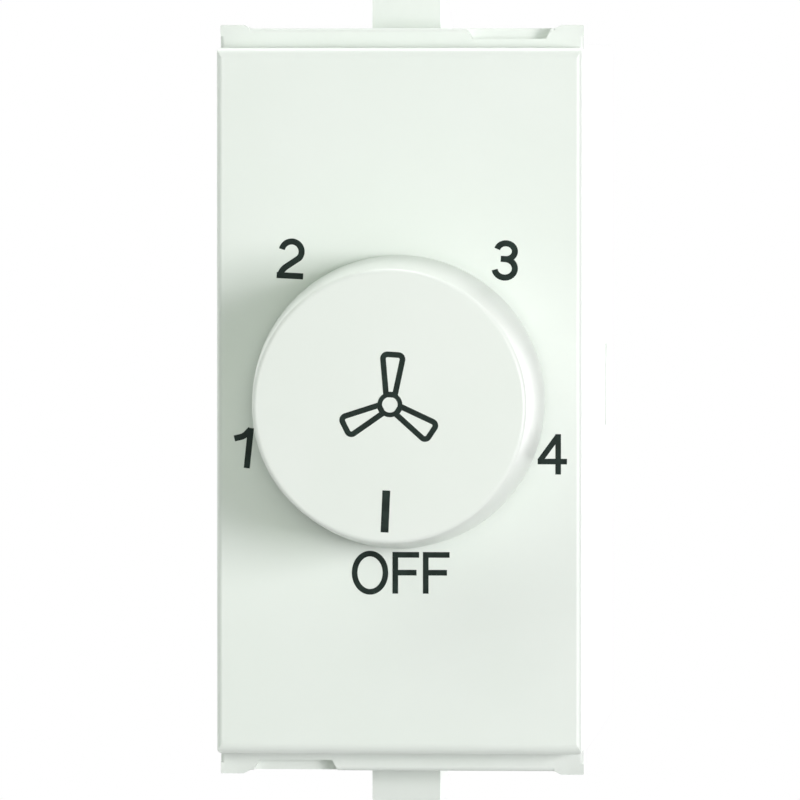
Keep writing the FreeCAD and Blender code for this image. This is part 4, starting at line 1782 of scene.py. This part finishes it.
@dataclass(frozen=True)
class Lamp:
    """A square soft lamp that faces the part, sizes in metres.

    Attributes:
        name: the lamp's name.
        direction: from the part to the lamp.
        distance: from the part to the lamp.
        size: width of the lamp.
        level: the brightness that it gives a white surface.
        colour: its colour.
        lit: the direction in which that surface faces.
    """

    name: str
    direction: Triple
    distance: float
    size: float
    level: float
    colour: Colour = (1.0, 1.0, 1.0)
    lit: Triple = (0.0, -1.0, 0.0)

    def build(self) -> None:
        """Make the lamp.

        Its power is the level times pi squared times the squared distance, over the cosine at which its
        light meets the lit surface.
        """
        towards = Vector(self.direction).normalized()
        data = bpy.data.lights.new(self.name, "AREA")
        data.shape = "SQUARE"
        data.size = self.size
        data.color = self.colour
        data.energy = self.level * math.pi**2 * self.distance**2 / towards.dot(Vector(self.lit))
        aimed(self.name, data, Vector((0.0, 0.0, 0.0)), towards, self.distance)


@dataclass
class Studio:
    """Camera, lights, floor and background, sizes in metres.

    Attributes:
        distance: from the camera to the middle of the face.
        right_deg: how far the camera stands to the right of the front.
        up_deg: how far it stands above the front.
        view_width: what the picture's width shows at the face.
        aim: the point of the face's plane in the picture's middle (x, z).
        floor_drop: how far the floor lies below the part.
        floor_half: half the floor's width.
        floor_tone: how light the floor is by its own colour.
        floor_glow: how brightly it shows.
        lamps: the lamps round the part.
        fill_level: brightness of the background's faint fill.
        fill_colour: the fill's colour.
    """

    distance: float = 0.6
    right_deg: float = 3.65
    up_deg: float = 1.8
    view_width: float = 48.75 * MM
    aim: Place = (0.06 * MM, 0.09 * MM)
    floor_drop: float = 0.06
    floor_half: float = 0.7
    floor_tone: float = 0.45
    floor_glow: float = 0.9
    lamps: tuple[Lamp, ...] = (
        Lamp("key_lamp", (0.69, -0.71, 0.055), 0.6, 0.2, 0.432, (1.0, 0.955, 0.99)),
        Lamp("second_lamp", (0.5, -0.866, 0.05), 0.6, 0.15, 0.075, (0.87, 0.87, 1.0)),
        Lamp("front_lamp", (0.1, -0.99, 0.1), 0.6, 0.15, 0.085, (0.88, 1.0, 0.8)),
        Lamp("left_lamp", (-0.5, -0.62, 0.6), 0.5, 0.3, 0.12, (0.93, 1.0, 0.92)),
        Lamp("high_lamp", (0.05, -0.7, 0.71), 0.16, 0.08, 0.062),
        Lamp("far_left_lamp", (-0.95, 0.3, 0.1), 0.6, 0.28, 0.25, lit=(-1.0, 0.0, 0.0)),
        Lamp("far_top_lamp", (0.0, 0.3, 0.95), 0.6, 0.25, 0.52, lit=(0.0, 0.0, 1.0)),
        Lamp("side_lamp", (0.42, 0.9, 0.1), 0.4, 0.25, 0.185, lit=(1.0, 0.0, 0.0)),
        Lamp("back_lamp", (-0.45, 0.82, 0.35), 0.6, 0.4, 0.12, lit=(0.0, 1.0, 0.0)),
    )
    fill_level: float = 0.035
    fill_colour: Colour = (0.95, 1.0, 0.9)

    def camera(self) -> None:
        """Make the camera at the photograph's angle."""
        low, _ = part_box("face_plate")
        target = Vector((self.aim[0], low.y, self.aim[1]))
        right, up = math.radians(self.right_deg), math.radians(self.up_deg)
        back = Vector((math.sin(right) * math.cos(up), -math.cos(right) * math.cos(up), math.sin(up)))
        data = bpy.data.cameras.new("camera")
        data.sensor_width = 36.0
        data.lens = data.sensor_width * self.distance / self.view_width
        data.clip_start, data.clip_end = 0.01, 10.0
        bpy.context.scene.camera = aimed("camera", data, target, back, self.distance)

    @staticmethod
    def seen(graph: Graph) -> Socket:
        """1 for the rays that show the background: the camera's, reflections and transmission.

        Args:
            graph: the graph of the world or the floor.

        Returns:
            The value's socket.
        """
        path = graph.node("ShaderNodeLightPath")
        either = graph.math("MAXIMUM", path.outputs["Is Camera Ray"], path.outputs["Is Glossy Ray"])
        return graph.math("MAXIMUM", either, path.outputs["Is Transmission Ray"])

    def world(self) -> None:
        """A white background that lights the part only as a faint fill."""
        world = bpy.data.worlds.new("studio")
        world.use_nodes = True
        bpy.context.scene.world = world
        graph = Graph(world.node_tree)
        fill = world.node_tree.nodes["Background"]
        fill.inputs["Color"].default_value = (*self.fill_colour, 1.0)
        fill.inputs["Strength"].default_value = self.fill_level
        white = graph.node("ShaderNodeBackground")
        white.inputs["Color"].default_value = (1.0, 1.0, 1.0, 1.0)
        mix = graph.node("ShaderNodeMixShader")
        graph.feed(mix.inputs[0], self.seen(graph))
        graph.feed(mix.inputs[1], fill.outputs[0])
        graph.feed(mix.inputs[2], white.outputs[0])
        graph.feed(world.node_tree.nodes["World Output"].inputs[0], mix.outputs[0])

    def floor(self) -> None:
        """A pale floor well below the part, which glows for the rays that show the background."""
        low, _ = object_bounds()
        level = low.z - self.floor_drop
        half = self.floor_half
        corners = [(-half, -half, level), (half, -half, level), (half, half, level), (-half, half, level)]
        mesh = bpy.data.meshes.new("floor")
        mesh.from_pydata(corners, [], [(0, 1, 2, 3)])
        material = bpy.data.materials.new("floor")
        material.use_nodes = True
        graph = Graph(material.node_tree)
        shader = material.node_tree.nodes["Principled BSDF"]
        shader.inputs["Base Color"].default_value = (self.floor_tone, self.floor_tone, self.floor_tone, 1.0)
        shader.inputs["Roughness"].default_value = 0.9
        shader.inputs["Emission Color"].default_value = (1.0, 1.0, 1.0, 1.0)
        glow = graph.math("MULTIPLY", self.seen(graph), self.floor_glow)
        graph.feed(shader.inputs["Emission Strength"], glow)
        mesh.materials.append(material)
        made = bpy.data.objects.new("floor", mesh)
        bpy.context.scene.collection.objects.link(made)
        made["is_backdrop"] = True

    def build(self) -> None:
        """Make the camera, the lights, the world and the floor."""
        self.camera()
        for lamp in self.lamps:
            lamp.build()
        self.world()
        self.floor()
        bpy.context.scene.view_settings.view_transform = "Standard"


def main() -> None:
    """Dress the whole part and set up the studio."""
    logging.basicConfig(level=logging.INFO, format="%(name)s: %(message)s")
    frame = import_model()
    nodes = frame["nodes"]
    finishes = Finishes()
    finishes.build()
    for part in (FrontPlate(), Knob(), Housing(), SwitchWorks(), Board(), Terminals()):
        part.build(nodes, finishes)
        log.info("%s is done", type(part).__name__)
    Studio().build()


if __name__ == "__main__":
    main()
